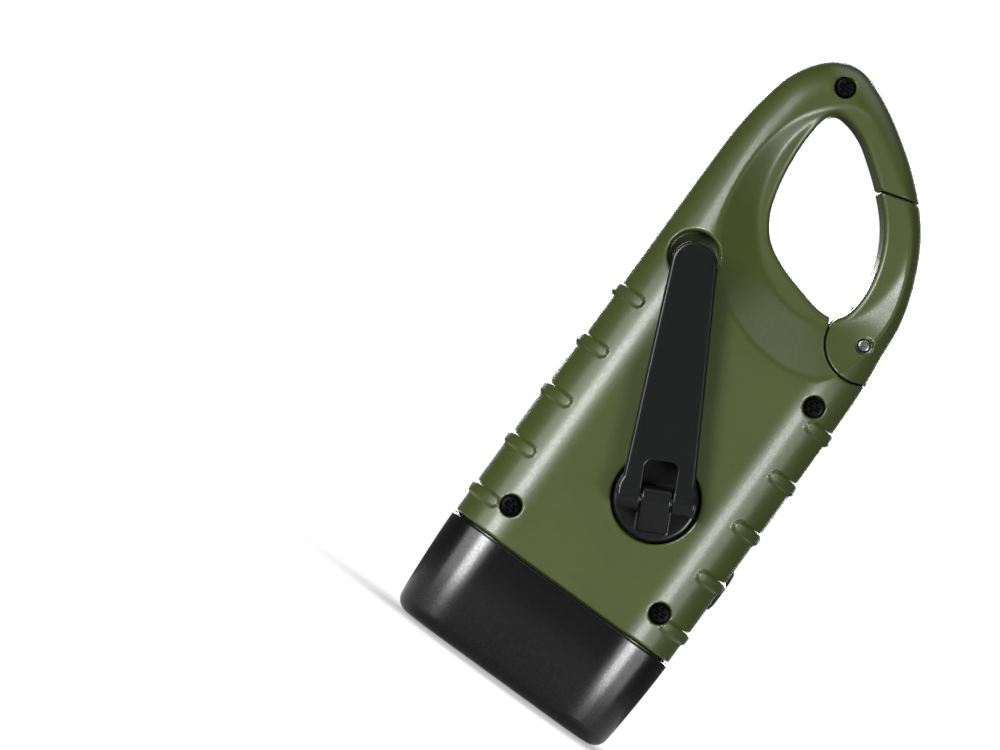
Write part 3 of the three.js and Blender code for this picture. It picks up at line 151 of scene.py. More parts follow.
def to_ring(x, z, ring):
    """Signed distance to a closed ring of points, negative inside: the least distance to any of
    its straight pieces, with its sign from how many of them a ray towards +x crosses."""
    near = np.full(x.shape, np.inf)
    inside = np.zeros(x.shape, bool)
    for (x0, z0), (x1, z1) in zip(ring, np.roll(ring, -1, axis=0)):
        dx, dz = x1 - x0, z1 - z0
        t = np.clip(((x - x0) * dx + (z - z0) * dz) / (dx * dx + dz * dz + TINY), 0, 1)
        near = np.minimum(near, (x - x0 - t * dx) ** 2 + (z - z0 - t * dz) ** 2)
        if z0 != z1:
            inside ^= ((z0 > z) != (z1 > z)) & (x < dx * (z - z0) / dz + x0)
    return np.sqrt(near) * np.where(inside, -1, 1)


def look_up(table, x, z):
    """Straight interpolation in a table, from its four nearest places."""
    i = np.clip((x - table_x[0]) / STEP, 0, len(table_x) - LAST)
    k = np.clip((z - table_z[0]) / STEP, 0, len(table_z) - LAST)
    i0, k0 = i.astype(int), k.astype(int)
    u, v = i - i0, k - k0
    return ((table[i0, k0] * (1 - u) + table[i0 + 1, k0] * u) * (1 - v)
            + (table[i0, k0 + 1] * (1 - u) + table[i0 + 1, k0 + 1] * u) * v)


side_table, loop_table = to_ring(*flat_view, outline), to_ring(*flat_view, loop_edge)
print("the loop's room for a strap is", round(-look_up(loop_table, 0 * table_z, table_z).min(), 1),
      "mm from its edge at the widest")

# %% [markdown]
# ## From a field to a skin
# A moulded case has openings, sunk pockets and soft edges that run into each other, which no single
# two-parameter surface can follow. A distance field can: it says for every place how far it is from
# the surface, and rounded unions and cuts of such fields give moulded fillets for free. The skin
# is then found on a square grid. Each grid cell that the surface passes through gets one corner,
# at the mean of the places where the cell's edges are crossed. The corners are joined by squares,
# slid evenly and pulled exactly on to the surface along the slope of the field.

# %% Rounded joins of fields
def both(a, b, r):
    """Where both solids are, with the new edge rounded to radius r: outside the corner the
    distance is that to a circle of radius r set into it."""
    return (np.minimum(np.maximum(a, b), -r)
            + np.hypot(np.maximum(a + r, 0), np.maximum(b + r, 0)))


def either(a, b, r):
    """Where either solid is, with a fillet of radius r where they meet."""
    return -both(-a, -b, r)


def without(a, b, r):
    """The first solid less the second, with the new edge rounded."""
    return both(a, -b, r)


def corner_of(a, b, r):
    """Distance to two sides, at a = r and b = r, that meet in a quarter circle of radius r."""
    return np.minimum(np.maximum(a, b), 0) + np.hypot(np.maximum(a, 0), np.maximum(b, 0)) - r


def rounded_rect(u, v, half_u, half_v, r):
    """Distance to a rectangle about the origin with corners of radius r."""
    return corner_of(np.abs(u) - half_u + r, np.abs(v) - half_v + r, r)


def rod(away, along, radius, middle, half):
    """Distance to a round rod with sharp ends, from the distances from and along its axis."""
    return np.maximum(away - radius, np.abs(along - middle) - half)


print("rounded to 1 mm, a square corner moves in by", round(float(both(0, 0, 1.0)), 3), "mm")



def slope(field, p, reach):
    """Gradient of a field by central differences, one step of the reach each way."""
    g = np.empty_like(p)
    for axis in range(3):
        ahead, behind = p.copy(), p.copy()
        ahead[:, axis] += reach
        behind[:, axis] -= reach
        g[:, axis] = (field(*ahead.T) - field(*behind.T)) / (2 * reach)
    return g


# %% A skin on a field
NEAR_ZERO = 1e-6  # a value nearer to zero than this counts as just outside
LEVEL = 1e-9  # keeps a step finite where the field has no slope
SLIDES = 2


def cells_at(edges, across, i, j):
    """The cells that lie i and j places back from each edge, in the two directions across it."""
    cells = edges.copy()
    cells[:, across[0]] -= i
    cells[:, across[1]] -= j
    return cells


def skin(field, low, high, step):
    """The surface where a field of x, y and z is zero: corners, squares, no triangles, normals."""
    axes = [np.arange(a - step, b + 2 * step, step) for a, b in zip(low, high)]
    grid = np.meshgrid(*axes, indexing="ij")
    value = field(*(g.ravel() for g in grid)).reshape(grid[0].shape)
    value = np.where(np.abs(value) < NEAR_ZERO, NEAR_ZERO, value)
    size = tuple(n - 1 for n in value.shape)
    total, count = np.zeros(size + (3,)), np.zeros(size)
    crossings = []
    for axis in range(3):
        a, b = np.delete(value, -1, axis), np.delete(value, 0, axis)
        at = np.argwhere((a < 0) != (b < 0))
        va, vb = a[tuple(at.T)], b[tuple(at.T)]
        place = np.stack([axes[k][at[:, k]] for k in range(3)], axis=1)
        place[:, axis] += step * va / (va - vb)
        across = [k for k in range(3) if k != axis]
        for i, j in ((0, 0), (0, 1), (1, 0), (1, 1)):
            cell = cells_at(at, across, i, j)
            fits = np.all((cell >= 0) & (cell < size), axis=1)
            np.add.at(total, tuple(cell[fits].T), place[fits])
            np.add.at(count, tuple(cell[fits].T), 1)
        crossings.append((at, va < 0, across))
    used = count > 0
    number = np.full(size, -1)
    number[used] = np.arange(used.sum())
    corners = total[used] / count[used][:, None]
    squares = []
    for axis, (at, solid_first, across) in enumerate(crossings):
        ring = np.stack([number[tuple(cells_at(at, across, i, j).T)]
                         for i, j in ((1, 1), (0, 1), (0, 0), (1, 0))], axis=1)
        turn = solid_first if axis != 1 else ~solid_first
        squares.append(np.where(turn[:, None], ring, ring[:, ::-1]))
    squares = np.vstack(squares)
    for _ in range(SLIDES):
        corners = settle(field, slide(corners, squares), step)
    corners = settle(field, corners, step)
    normals = slope(field, corners, step / 2)
    normals /= np.linalg.norm(normals, axis=1, keepdims=True) + TINY
    return corners, squares, None, normals


def slide(corners, squares):
    """Each corner goes halfway to the mean of the middles of its squares."""
    middle = corners[squares].mean(axis=1)
    total, count = np.zeros_like(corners), np.zeros(len(corners))
    for k in range(4):
        np.add.at(total, squares[:, k], middle)
        np.add.at(count, squares[:, k], 1)
    return corners + 0.5 * (total / count[:, None] - corners)


def settle(field, corners, step):
    """Each corner goes down the slope of the field by its value there, at most half a step."""
    g = slope(field, corners, step / 4)
    move = field(*corners.T)[:, None] * g / (np.sum(g * g, axis=1, keepdims=True) + LEVEL)
    far = np.linalg.norm(move, axis=1, keepdims=True)
    return corners - move * np.minimum(1, 0.5 * step / (far + TINY))


ball, *_ = skin(lambda x, y, z: np.sqrt(x * x + y * y + z * z) - 3, (-3, -3, -3), (3, 3, 3), 0.5)
off = np.abs(np.linalg.norm(ball, axis=1) - 3).max()
print("a ball of radius 3 mm gets", len(ball), "corners, at most", round(off, 5), "mm off")

# %% [markdown]
# ## The case form
# The real case is two moulded halves of green plastic. Seen from the front it is a straight bar
# that sweeps over into a hook; seen from the side it thins towards the tail. The field follows
# this: the flat view gives how far a place is from the outline, the height gives the depth and the
# rounding of the long edges, and the two meet in a quarter circle.

# %% The blank case
def ease(t):
    """From zero to one with level ends: t squared times three less two t."""
    t = np.clip(t, 0, 1)
    return t * t * (3 - 2 * t)


def formed(x, y, z, grow=0.0):
    """Distance to the case without openings: a quarter circle of the shoulder's radius joins the
    sides, at the outline, to the faces, at the depth for that height."""
    thinning = ease((z - TAPER_START) / (LENGTH - TAPER_START))
    depth = HALF_DEPTH + (TAIL_HALF_DEPTH - HALF_DEPTH) * thinning + grow
    shoulder = SHOULDER + (TAIL_SHOULDER - SHOULDER) * thinning + grow
    a = look_up(side_table, x, z) - grow + shoulder
    return corner_of(a, np.abs(y) - depth + shoulder, shoulder)


SHARE_LOW, SHARE_HIGH, HALVINGS = -0.9, 2.0, 24


def dish_share(x, z):
    """How far up the wall of the dish a place lies, 0 at its floor and 1 at its brim: the share at
    which an ellipse between the two passes through the place, found by halving."""
    low, high = np.full(x.shape, SHARE_LOW), np.full(x.shape, SHARE_HIGH)
    cosine, sine = math.cos(DISH_TILT), math.sin(DISH_TILT)
    for _ in range(HALVINGS):
        t = (low + high) / 2
        now = {key: DISH_FLOOR[key] + (DISH_BRIM[key] - DISH_FLOOR[key]) * t for key in DISH_FLOOR}
        u, v = x - now["x"], z - now["z"]
        across, along = u * cosine + v * sine, v * cosine - u * sine
        outside = (across / now["short"]) ** 2 + (along / now["long"]) ** 2 > 1
        low, high = np.where(outside, t, low), np.where(outside, high, t)
    return (low + high) / 2


share = dish_share(*flat_view)
DISH_SOFT = 0.06  # how softly the dish's wall leaves its floor, as a share
face_table = (RING_HALF_DEPTH + (HALF_DEPTH - RING_HALF_DEPTH)
              * (share + np.hypot(share, DISH_SOFT)) / 2)
WALL_COSINE = 0.88  # of the dish's mean slope, which turns a height into a distance
print("the dish sinks the faces by up to", round(HALF_DEPTH - face_table.min(), 2), "mm")

# %% [markdown]
# ## Grip ribs and the loop
# Five ribs on each side wrap the shoulders and stop in a round end on each face. They are the case
# form again, grown by half a millimetre and kept only inside round-ended bars, so they follow the
# shoulder exactly. A small fillet melts them into the case, as in the mould.

# %% Ribs, dish and loop
RIB_FIRST, RIB_PITCH, RIB_COUNT = 28.0, 12.15, 5
RIB_HALF, RIB_START, RIB_PROUD = 1.25, 21.25, 0.55
BRIM_EDGE, LOOP_ROUND, RIB_EDGE, RIB_FOOT = 0.5, 1.1, 0.52, 0.3


def blank(x, y, z):
    """The case with its dish, loop and ribs, and with nothing cut into it."""
    sunk = WALL_COSINE * (np.abs(y) - look_up(face_table, x, z))
    body = both(formed(x, y, z), sunk, BRIM_EDGE)
    body = both(body, -look_up(loop_table, x, z), LOOP_ROUND)
    nearest = np.clip(np.round((z - RIB_FIRST) / RIB_PITCH), 0, RIB_COUNT - 1)
    middle = RIB_FIRST + RIB_PITCH * nearest
    bar = np.hypot(np.maximum(RIB_START - np.abs(x), 0), z - middle) - RIB_HALF
    rib = both(formed(x, y, z, RIB_PROUD), bar, RIB_EDGE)
    return either(body, rib, RIB_FOOT)


print("the last rib is at", RIB_FIRST + RIB_PITCH * (RIB_COUNT - 1), "mm")

# %% [markdown]
# ## What is cut into the case
# The crank sits in a round recess, its tip over a finger pocket, four screws in counterbores, the
# solar panel in a shallow bed, the button in a round hole and the gate in its own room. Each cut is
# a simple field of its own, and each takes a small rounded edge, which is what catches the light.

# %% Places of the fittings
GAP = 0.3
HUB_X, HUB_Z, HUB_RADIUS, HUB_FLOOR, HUB_BORE = 4.6, 47.1, 8.6, 14.6, 2.65
SEAT_RADIUS, SEAT_FACE = 10.7, 13.1  # of the solid wall behind the crank
POCKET = dict(x=-17.4, z=90.3, radius=5.15, floor=8.0)
SCREWS = ((-17.7, 29.3, 14.5), (18.5, 29.3, 14.5), (19.2, 80.1, 14.5), (-12.7, 135.1, 7.65))
SCREW_BOSS, SCREW_WELL, SCREW_BORE, SCREW_END = 3.3, 2.2, 1.35, 5.8
PIVOT_X, PIVOT_Z, KNUCKLE, TONGUE_HALF = 20.202, 95.802, 7.6, 4.5
PIN_BORE = 1.3
SPRING_ROOM = (2.8, 3.2, 2.2)  # radius, middle and half length
GATE_TIP, GATE_EDGE, FAR_OUT = (1.85, 121.95), (17.15, 126.45), 40
GATE_TURN, TONGUE_TURN = 150, 183.5  # degrees at which each region leaves the knuckle
BUTTON_Y, BUTTON_Z, BUTTON_RADIUS = 2.5, 40.0, 4.7
BUTTON_SINK, SINK_FLOOR, BUTTON_CLEAR = 1.05, 25.55, 0.25
CASE_BOTTOM = SEAM + SEAM_GAP / 2
SPIGOT, SPIGOT_Z, SPIGOT_HALF = (2.05, 3.55), 21.2, 3.8  # insets, middle and half height


def gate_ring(start_degrees, reach, gap):
    """Corners of the gate's region: from the knuckle's edge to the seam near the tip."""
    turn = math.radians(start_degrees)
    (tip_x, tip_z), (edge_x, edge_z) = GATE_TIP, GATE_EDGE
    return np.array(((PIVOT_X + reach * math.cos(turn), PIVOT_Z + reach * math.sin(turn)),
                     (tip_x, tip_z - gap), (edge_x, edge_z - gap), (FAR_OUT, edge_z - gap),
                     (FAR_OUT, PIVOT_Z), (PIVOT_X, PIVOT_Z)))


# The panel's outline: straight sides, round corners and an arched top.
FRAME_HALF, FRAME_LOW, FRAME_SHOULDER, FRAME_CROWN, FRAME_CORNER = 16.4, 27.8, 77.0, 80.5, 4.0
# Rounded rectangles on the panel side: half width, half height and corner.
PANEL_Z, WELL, RIDGE, OPENING = 52.7, (12.2, 21.1, 3.0), (13.8, 23.3, 2.2), (11.0, 19.9, 1.8)
BED_Z, BED = 53.5, (17.9, 28.5, 4.0)
# Their levels, from the inside out.
WELL_FLOOR, BED_BACK, BED_FLOOR, FRAME_BACK = 14.0, 15.0, 16.4, 16.7
WINDOW_TOP, BASE_TOP, RIDGE_TOP = 17.7, 18.6, 19.3


def panel_outline(x, z, grow=0.0):
    """Distance to the panel's outline: a rounded rectangle whose top follows a wide arc."""
    chord = FRAME_HALF - FRAME_CORNER
    rise = FRAME_CROWN - FRAME_SHOULDER
    radius = (chord * chord + rise * rise) / (2 * rise)
    middle_z = FRAME_CROWN - radius
    r = FRAME_CORNER
    up = np.maximum(FRAME_LOW + r - z, np.hypot(x, z - middle_z) - radius + r)
    return corner_of(np.abs(x) - FRAME_HALF + r, up, r) - grow


print("the gate is", round(math.dist(GATE_TIP, (PIVOT_X, PIVOT_Z)), 1), "mm long from its pin")

# %% The case with everything cut in
# Radii of the edges that each cut or join leaves.
EDGE = dict(bottom=0.4, spigot=0.2, spigot_foot=0.1, bed=0.35, well=0.2, hub=0.4, shaft=0.2,
            pocket_floor=0.5, pocket=0.7, screw=0.3, bore=0.1, sink=0.3, button=0.1, gate=0.25,
            split=0.25)
LIP_INSET, LIP_REACH = 0.8, 0.12  # of the lip in the split: from the outside, and past the middle


def hollow(x, y, z):
    """The room inside the case: its form less a wall, up to the waist, without the bosses that
    carry the panel, the crank and the screws."""
    room = np.maximum(formed(x, y, z, -WALL), z - CAVITY_TOP)
    bed = np.maximum(rounded_rect(x, z - BED_Z, *BED), BED_BACK - y)
    seat = np.maximum(np.hypot(x - HUB_X, z - HUB_Z) - SEAT_RADIUS, y + SEAT_FACE)
    bosses = np.minimum(bed, seat)
    for sx, sz, _ in SCREWS[:3]:
        bosses = np.minimum(bosses, np.hypot(x - sx, z - sz) - SCREW_BOSS)
    return np.maximum(room, -bosses)


def gate_room(x, y, z):
    """The room for the gate: all across outside the tongue, and round its end at the tongue."""
    knuckle = np.hypot(x - PIVOT_X, z - PIVOT_Z)
    cheeks = np.minimum(knuckle - KNUCKLE - GAP,
                        to_ring(x, z, gate_ring(GATE_TURN, KNUCKLE + GAP, 0)))
    around = np.maximum(to_ring(x, z, gate_ring(TONGUE_TURN, KNUCKLE + 2 * GAP, 0)),
                        KNUCKLE - GAP - knuckle)
    return np.minimum(np.maximum(cheeks, TONGUE_HALF - np.abs(y)), around)


def case(x, y, z):
    """The whole case, both halves, with the ring that the head is pushed on to."""
    body = both(blank(x, y, z), CASE_BOTTOM - z, EDGE["bottom"])
    body = np.maximum(body, -hollow(x, y, z))
    outside, inside = (rounded_rect(x, y, HALF_WIDTH - a, HALF_DEPTH - a, SHOULDER - a)
                       for a in SPIGOT)
    ring = both(outside, -inside, EDGE["spigot"])
    ring = both(ring, np.abs(z - SPIGOT_Z) - SPIGOT_HALF, EDGE["spigot"])
    body = either(body, ring, EDGE["spigot_foot"])
    body = without(body, np.maximum(panel_outline(x, z, GAP), BED_FLOOR - y), EDGE["bed"])
    well = np.maximum(rounded_rect(x, z - PANEL_Z, *WELL), WELL_FLOOR - y)
    body = without(body, well, EDGE["well"])
    hub = np.hypot(x - HUB_X, z - HUB_Z)
    body = without(body, np.maximum(hub - HUB_RADIUS - GAP, y + HUB_FLOOR), EDGE["hub"])
    body = without(body, np.maximum(hub - HUB_BORE, y), EDGE["shaft"])
    pocket = np.hypot(x - POCKET["x"], z - POCKET["z"]) - POCKET["radius"]
    pocket = both(pocket, y + POCKET["floor"], EDGE["pocket_floor"])
    body = without(body, pocket, EDGE["pocket"])
    for sx, sz, seat in SCREWS:
        away = np.hypot(x - sx, z - sz)
        body = without(body, np.maximum(away - SCREW_WELL, y + seat), EDGE["screw"])
        body = without(body, np.maximum(away - SCREW_BORE, y - SCREW_END), EDGE["bore"])
    button = np.hypot(y - BUTTON_Y, z - BUTTON_Z) - BUTTON_RADIUS
    body = without(body, np.maximum(button - BUTTON_SINK, SINK_FLOOR - x), EDGE["sink"])
    body = without(body, np.maximum(button - BUTTON_CLEAR, -x), EDGE["button"])
    pivot = np.hypot(x - PIVOT_X, z - PIVOT_Z)
    body = without(body, gate_room(x, y, z), EDGE["gate"])
    body = np.maximum(body, PIN_BORE - pivot)
    return np.maximum(body, -rod(pivot, y, *SPRING_ROOM))


def front_half(x, y, z):
    """The half that carries the solar panel, with a small rounding along the split and a lip that
    stands across it a little way in, so the split is a dark line and no light passes through."""
    whole = case(x, y, z)
    lip = np.maximum.reduce((whole, blank(x, y, z) + LIP_INSET, -LIP_REACH - y))
    return np.minimum(both(whole, SPLIT_GAP / 2 - y, EDGE["split"]), lip)


def back_half(x, y, z):
    """The half that carries the crank."""
    return both(case(x, y, z), SPLIT_GAP / 2 + y, EDGE["split"])


print("edges rounded by", min(EDGE.values()), "to", max(EDGE.values()), "mm")

# %% [markdown]
# ## From corners to a piece
# Every piece is put into the scene in the same way: its corners, in the designer's millimetres, are
# shifted to the frame and turned into metres, its faces are checked to point outwards by the sign
# of the volume they enclose, and it is tied to the body it moves with. The exact normals of the
# surface go in too, so that a coarse grid still shades as the true surface does.

# %% One way to make every piece
def volume(corners, faces):
    """Enclosed volume: each triangle and the origin span a tetrahedron, and these are summed."""
    a = corners[faces[:, 0]]
    total = 0
    for k in range(1, faces.shape[1] - 1):
        b, c = corners[faces[:, k]], corners[faces[:, k + 1]]
        total += np.einsum("ij,ij->i", a, np.cross(b, c)).sum() / 6
    return total


def make_piece(name, surface, body, slot, *nodes):
    """A mesh object at the origin, from a surface in millimetres: its corners, its squares, its
    triangles or none and its normals or none. The piece moves with a body and stands for solids of
    the frame. The slot is not used."""
    corners, squares, triangles, normals = surface
    faces = [f for f in (squares, triangles) if f is not None]
    if sum(volume(corners, f) for f in faces) < 0:
        faces = [f[:, ::-1] for f in faces]
    loops = np.concatenate([f.ravel() for f in faces]).astype(np.int32)
    sizes = np.concatenate([np.full(len(f), f.shape[1]) for f in faces])
    starts = (np.cumsum(sizes) - sizes).astype(np.int32)
    mesh = bpy.data.meshes.new(name)
    mesh.vertices.add(len(corners))
    mesh.vertices.foreach_set("co", ((corners + SHIFT) / 1000).ravel().astype(np.float32))
    mesh.loops.add(len(loops))
    mesh.loops.foreach_set("vertex_index", loops)
    mesh.polygons.add(len(sizes))
    mesh.polygons.foreach_set("loop_start", starts)
    mesh.update(calc_edges=True)
    mesh.validate()
    mesh.shade_smooth()
    if normals is not None:
        mesh.normals_split_custom_set_from_vertices(normals)
    piece = bpy.data.objects.new(name, mesh)
    bpy.context.scene.collection.objects.link(piece)
    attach(piece, body)
    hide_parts(*nodes)
    print(name, len(corners), "corners,", len(sizes), "faces")


# %% The two halves of the case
SHELL_STEP = 0.45  # mm between the places of the case's grid
FRONT_BOX = (-26.6, -0.5, 17.2), (26.6, 18.2, 140.2)
BACK_BOX = (-26.6, -18.2, 17.2), (26.6, 0, 140.2)
make_piece("case_front", skin(front_half, *FRONT_BOX, SHELL_STEP),
           "case", "olive_plastic", "front_shell")
make_piece("case_back", skin(back_half, *BACK_BOX, SHELL_STEP),
           "case", "olive_plastic", "back_shell")

# %% [markdown]
# ## The gate
# The gate is the moving side of the carabiner. It is cut from the same blank as the case, so its
# faces run on in line with the case's, and it ends in a round knuckle whose two cheeks hold the
# case's tongue between them.

# %% The gate
TIP_GAP, GATE_ROUND, CHEEK_EDGE = 0.4, 0.35, 0.2
SLOT_DEEPER = 0.05  # how far the tongue's slot passes the knuckle
PIN_MOUTH, MOUTH_FLOOR, MOUTH_EDGE = 1.8, 12.2, 0.25


def gate(x, y, z):
    """The blank inside the gate's region, less the slot for the tongue and the pin's bore."""
    pivot = np.hypot(x - PIVOT_X, z - PIVOT_Z)
    region = np.minimum(pivot - KNUCKLE, to_ring(x, z, gate_ring(GATE_TURN, KNUCKLE, TIP_GAP)))
    body = both(blank(x, y, z), region, GATE_ROUND)
    slot = np.maximum(pivot - KNUCKLE - SLOT_DEEPER, np.abs(y) - TONGUE_HALF - GAP)
    body = without(body, slot, CHEEK_EDGE)
    body = without(body, pivot - PIN_BORE, EDGE["bore"])
    return without(body, np.maximum(pivot - PIN_MOUTH, MOUTH_FLOOR - np.abs(y)), MOUTH_EDGE)


GATE_STEP = 0.36
GATE_BOX = (0, -18.2, 87), (26.6, 18.2, 128)
make_piece("gate_arm", skin(gate, *GATE_BOX, GATE_STEP), "gate", "olive_plastic", "gate")

# %% [markdown]
# ## The panel's frame
# Round the solar cell sits a dark frame with a raised ridge. Its bevels are what the photograph
# shows as bright lines, so the ridge keeps crisp edges with a rounding of a third of a millimetre.

# %% The panel's frame
BASE_EDGE, RIDGE_EDGE, OPENING_EDGE = 0.45, 0.3, 0.25
FLARE, FLARE_RISE, FLARE_COSINE = 0.9, 1.6, 0.87  # of the opening's sloping sides


def panel_frame(x, y, z):
    """A plate with an arched top, a raised ridge on it, and an opening whose sides slope out."""
    base = both(panel_outline(x, z), y - BASE_TOP, BASE_EDGE)
    ridge = both(rounded_rect(x, z - PANEL_Z, *RIDGE), y - RIDGE_TOP, RIDGE_EDGE)
    body = np.maximum(either(base, ridge, RIDGE_EDGE), FRAME_BACK - y)
    flare = FLARE * np.clip((y - WINDOW_TOP) / FLARE_RISE, 0, 1)
    opening = FLARE_COSINE * (rounded_rect(x, z - PANEL_Z, *OPENING) - flare)
    well = np.maximum(rounded_rect(x, z - PANEL_Z, *WELL), y - WINDOW_TOP)
    return np.maximum(without(body, opening, OPENING_EDGE), -well)


PANEL_STEP = 0.28
PANEL_BOX = (-16.5, 16.5, 27.6), (16.5, 19.4, 80.7)
make_piece("panel_frame", skin(panel_frame, *PANEL_BOX, PANEL_STEP),
           "case", "charcoal_plastic", "solar_frame")

# %% [markdown]
# ## The crank
# The crank is drawn upright about its own axis and then turned to where it lies on the case. The
# hub is a disc with a hinge lug on it; the arm is a tapered bar whose foot straddles the lug, and
# its hollow underside hides the knob.

# %% The arm and the hub
ARM_TURN = math.radians(-26.8)
FOLD_Y, BARREL, BARREL_HALF, FOLD_BORE, FOLD_BORE_HALF = -20.8, 2.6, 7.7, 1.05, 7.4
ARM_LENGTH, ARM_TIP, ARM_ROOT, ARM_FLARE = 46.8, 4.6, 7.4, 8.1
ARM_TOP, ARM_BOTTOM, ARM_EDGE, ARM_WALL = -23.0, -18.6, 0.7, 1.3
SLOT_Z, SLOT = -5.0, (3.25, 12.6, 1.5)  # half width, half length and corner
ROOM_LOW, ROOM_HIGH, ROOM_ROOF = 8.9, 40.8, -21.3  # the hollow along the arm
KNOB_ROOM_LOW, KNOB_ROOM_ROOF, RIVET_BORE, RIVET_ROOF = 42.1, -21.6, 1.25, -22.3
CUT_EDGE, INNER_EDGE, BARREL_FOOT = 0.3, 0.2, 0.15


def on_crank(surface):
    """From the crank's own axes to the case's: turned about Y and moved to the hub."""
    corners, squares, triangles, normals = surface
    cosine, sine = math.cos(ARM_TURN), math.sin(ARM_TURN)
    turn = np.array(((cosine, 0, sine), (0, 1, 0), (-sine, 0, cosine)))
    return (corners @ turn.T + (HUB_X, 0, HUB_Z), squares, triangles,
            None if normals is None else normals @ turn.T)


lean = math.asin((ARM_ROOT - ARM_TIP) / ARM_LENGTH)
TIP_POINTS = 40
angle = np.linspace(lean, math.pi - lean, TIP_POINTS)
ARM_RING = np.vstack(((-ARM_ROOT, 0), (ARM_ROOT, 0), np.stack(
    (ARM_TIP * np.cos(angle), ARM_LENGTH + ARM_TIP * np.sin(angle)), axis=1)))


def arm(x, y, z):
    """A tapered bar with a flared foot, rounded along its top edge, with a slot for the lug, two
    round barrels on the hinge's axis and a hollow from below."""
    flat = np.minimum(to_ring(x, z, ARM_RING), np.maximum(np.hypot(x, z) - ARM_FLARE, -z))
    body = np.maximum(both(flat, ARM_TOP - y, ARM_EDGE), y - ARM_BOTTOM)
    body = without(body, rounded_rect(x, z - SLOT_Z, *SLOT), CUT_EDGE)
    half = ARM_ROOT + (ARM_TIP - ARM_ROOT) * z / ARM_LENGTH - ARM_WALL
    room = np.maximum.reduce((np.abs(x) - half, ROOM_LOW - z, z - ROOM_HIGH, ROOM_ROOF - y))
    body = np.maximum(body, -np.minimum(room, np.maximum(KNOB_ROOM_LOW - z, KNOB_ROOM_ROOF - y)))
    hinge = np.hypot(y - FOLD_Y, z)
    barrels = both(hinge - BARREL, np.abs(x) - BARREL_HALF, CUT_EDGE)
    barrels = without(barrels, np.abs(x) - SLOT[0], INNER_EDGE)
    body = either(body, barrels, BARREL_FOOT)
    body = np.maximum(body, -rod(hinge, x, FOLD_BORE, 0, FOLD_BORE_HALF))
    return np.maximum(body, -np.maximum(np.hypot(x, z - ARM_LENGTH) - RIVET_BORE, RIVET_ROOF - y))


LUG_RING = np.array(((-17.0, 2.6), (-20.8, 2.6), (-22.64, -1.84), (-18.2, -6.6), (-17.0, -6.6)))
LUG_HALF, LUG_FOOT = 2.95, 0.4
DISC_Y, DISC_HALF, DISC_EDGE = -16.3, 1.4, 1.0
# The shaft's parts: radius, middle and half length; and where its flat side is.
SHAFT, SHAFT_TIP, GROOVE = (2.5, -12.0, 3.4), (1.5, -7.8, 1.9), (2.0, -10.2, 0.45)
FLAT_X, FLAT_START = 2.0, -13.1


def hub(x, y, z):
    """A disc with a rounded edge, a lug with a round barrel on it, and a stepped shaft below."""
    around, fold = np.hypot(x, z), np.hypot(y - FOLD_Y, z)
    body = both(around - HUB_RADIUS, np.abs(y - DISC_Y) - DISC_HALF, DISC_EDGE)
    lug = both(to_ring(y, z, LUG_RING), np.abs(x) - LUG_HALF, CUT_EDGE)
    barrel = both(fold - BARREL, np.abs(x) - LUG_HALF, CUT_EDGE)
    body = either(body, np.minimum(lug, barrel), LUG_FOOT)
    shaft = np.maximum(rod(around, y, *SHAFT), np.minimum(x - FLAT_X, FLAT_START - y))
    body = np.minimum.reduce((body, shaft, rod(around, y, *SHAFT_TIP)))
    radius, middle, half = GROOVE
    groove = np.maximum(radius - around, np.abs(y - middle) - half)
    return np.maximum.reduce((body, -groove, FOLD_BORE - fold))


ARM_STEP = 0.32
ARM_BOX = (-8.3, -23.6, -2.8), (8.3, -18.0, 51.6)
HUB_BOX = (-8.8, -23.6, -8.8), (8.8, -5.8, 8.8)
make_piece("arm_bar", on_crank(skin(arm, *ARM_BOX, ARM_STEP)), "arm", "black_plastic", "crank_arm")
make_piece("hub_disc", on_crank(skin(hub, *HUB_BOX, ARM_STEP)),
           "crank", "black_plastic", "crank_hub")

# %% [markdown]
# ## Turned pieces
# The knob, the rivet, the pins, the button and the screws are round, so each is a profile carried
# round an axis: the first parameter runs along the profile, the second is the angle. The corners of
# each profile are replaced by small arcs first, because no moulded or turned edge is truly sharp.

# %% Rounded profiles and bodies of revolution
def round_corners(points, steps=5, closed=False):
    """A line of points with its corners replaced by arcs: each arc touches both sides of its
    corner, and its middle lies on the line that halves the corner. The third number of a point
    is the radius of its arc."""
    points = np.array(points, float)
    p, radii = points[:, :2], points[:, 2]
    rounded = []
    for i, (corner, radius) in enumerate(zip(p, radii)):
        if radius == 0 or (not closed and i in (0, len(p) - 1)):
            rounded.append(corner[None])
            continue
        u, v = p[i - 1] - corner, p[(i + 1) % len(p)] - corner
        u, v = u / np.linalg.norm(u), v / np.linalg.norm(v)
        half = math.acos(np.clip(u @ v, -1, 1)) / 2
        middle = corner + (u + v) / np.linalg.norm(u + v) * radius / math.sin(half)
        start, end = corner + u * radius / math.tan(half), corner + v * radius / math.tan(half)
        t = np.linspace(0, 1, steps + 1)[:, None]
        swing = math.pi - 2 * half
        a = np.sin((1 - t) * swing) / math.sin(swing)
        b = np.sin(t * swing) / math.sin(swing)
        rounded.append(middle + a * (start - middle) + b * (end - middle))
    return np.vstack(rounded)


def ring_faces(rows, columns, closed=False):
    """Squares between neighbouring rings of a grid, the last column joined to the first."""
    i, k = np.meshgrid(np.arange(rows if closed else rows - 1), np.arange(columns), indexing="ij")
    a, b = i * columns, (i + 1) % rows * columns
    n = (k + 1) % columns
    return np.stack((a + k, a + n, b + n, b + k), axis=-1).reshape(-1, 4)


def end_fans(rows, columns):
    """Triangles that close the first and the last ring of a grid, each round one more corner."""
    k = np.arange(columns)
    n = (k + 1) % columns
    last = (rows - 1) * columns
    middle = np.full(columns, rows * columns)
    return np.vstack((np.stack((middle, n, k), axis=1),
                      np.stack((middle + 1, last + k, last + n), axis=1)))


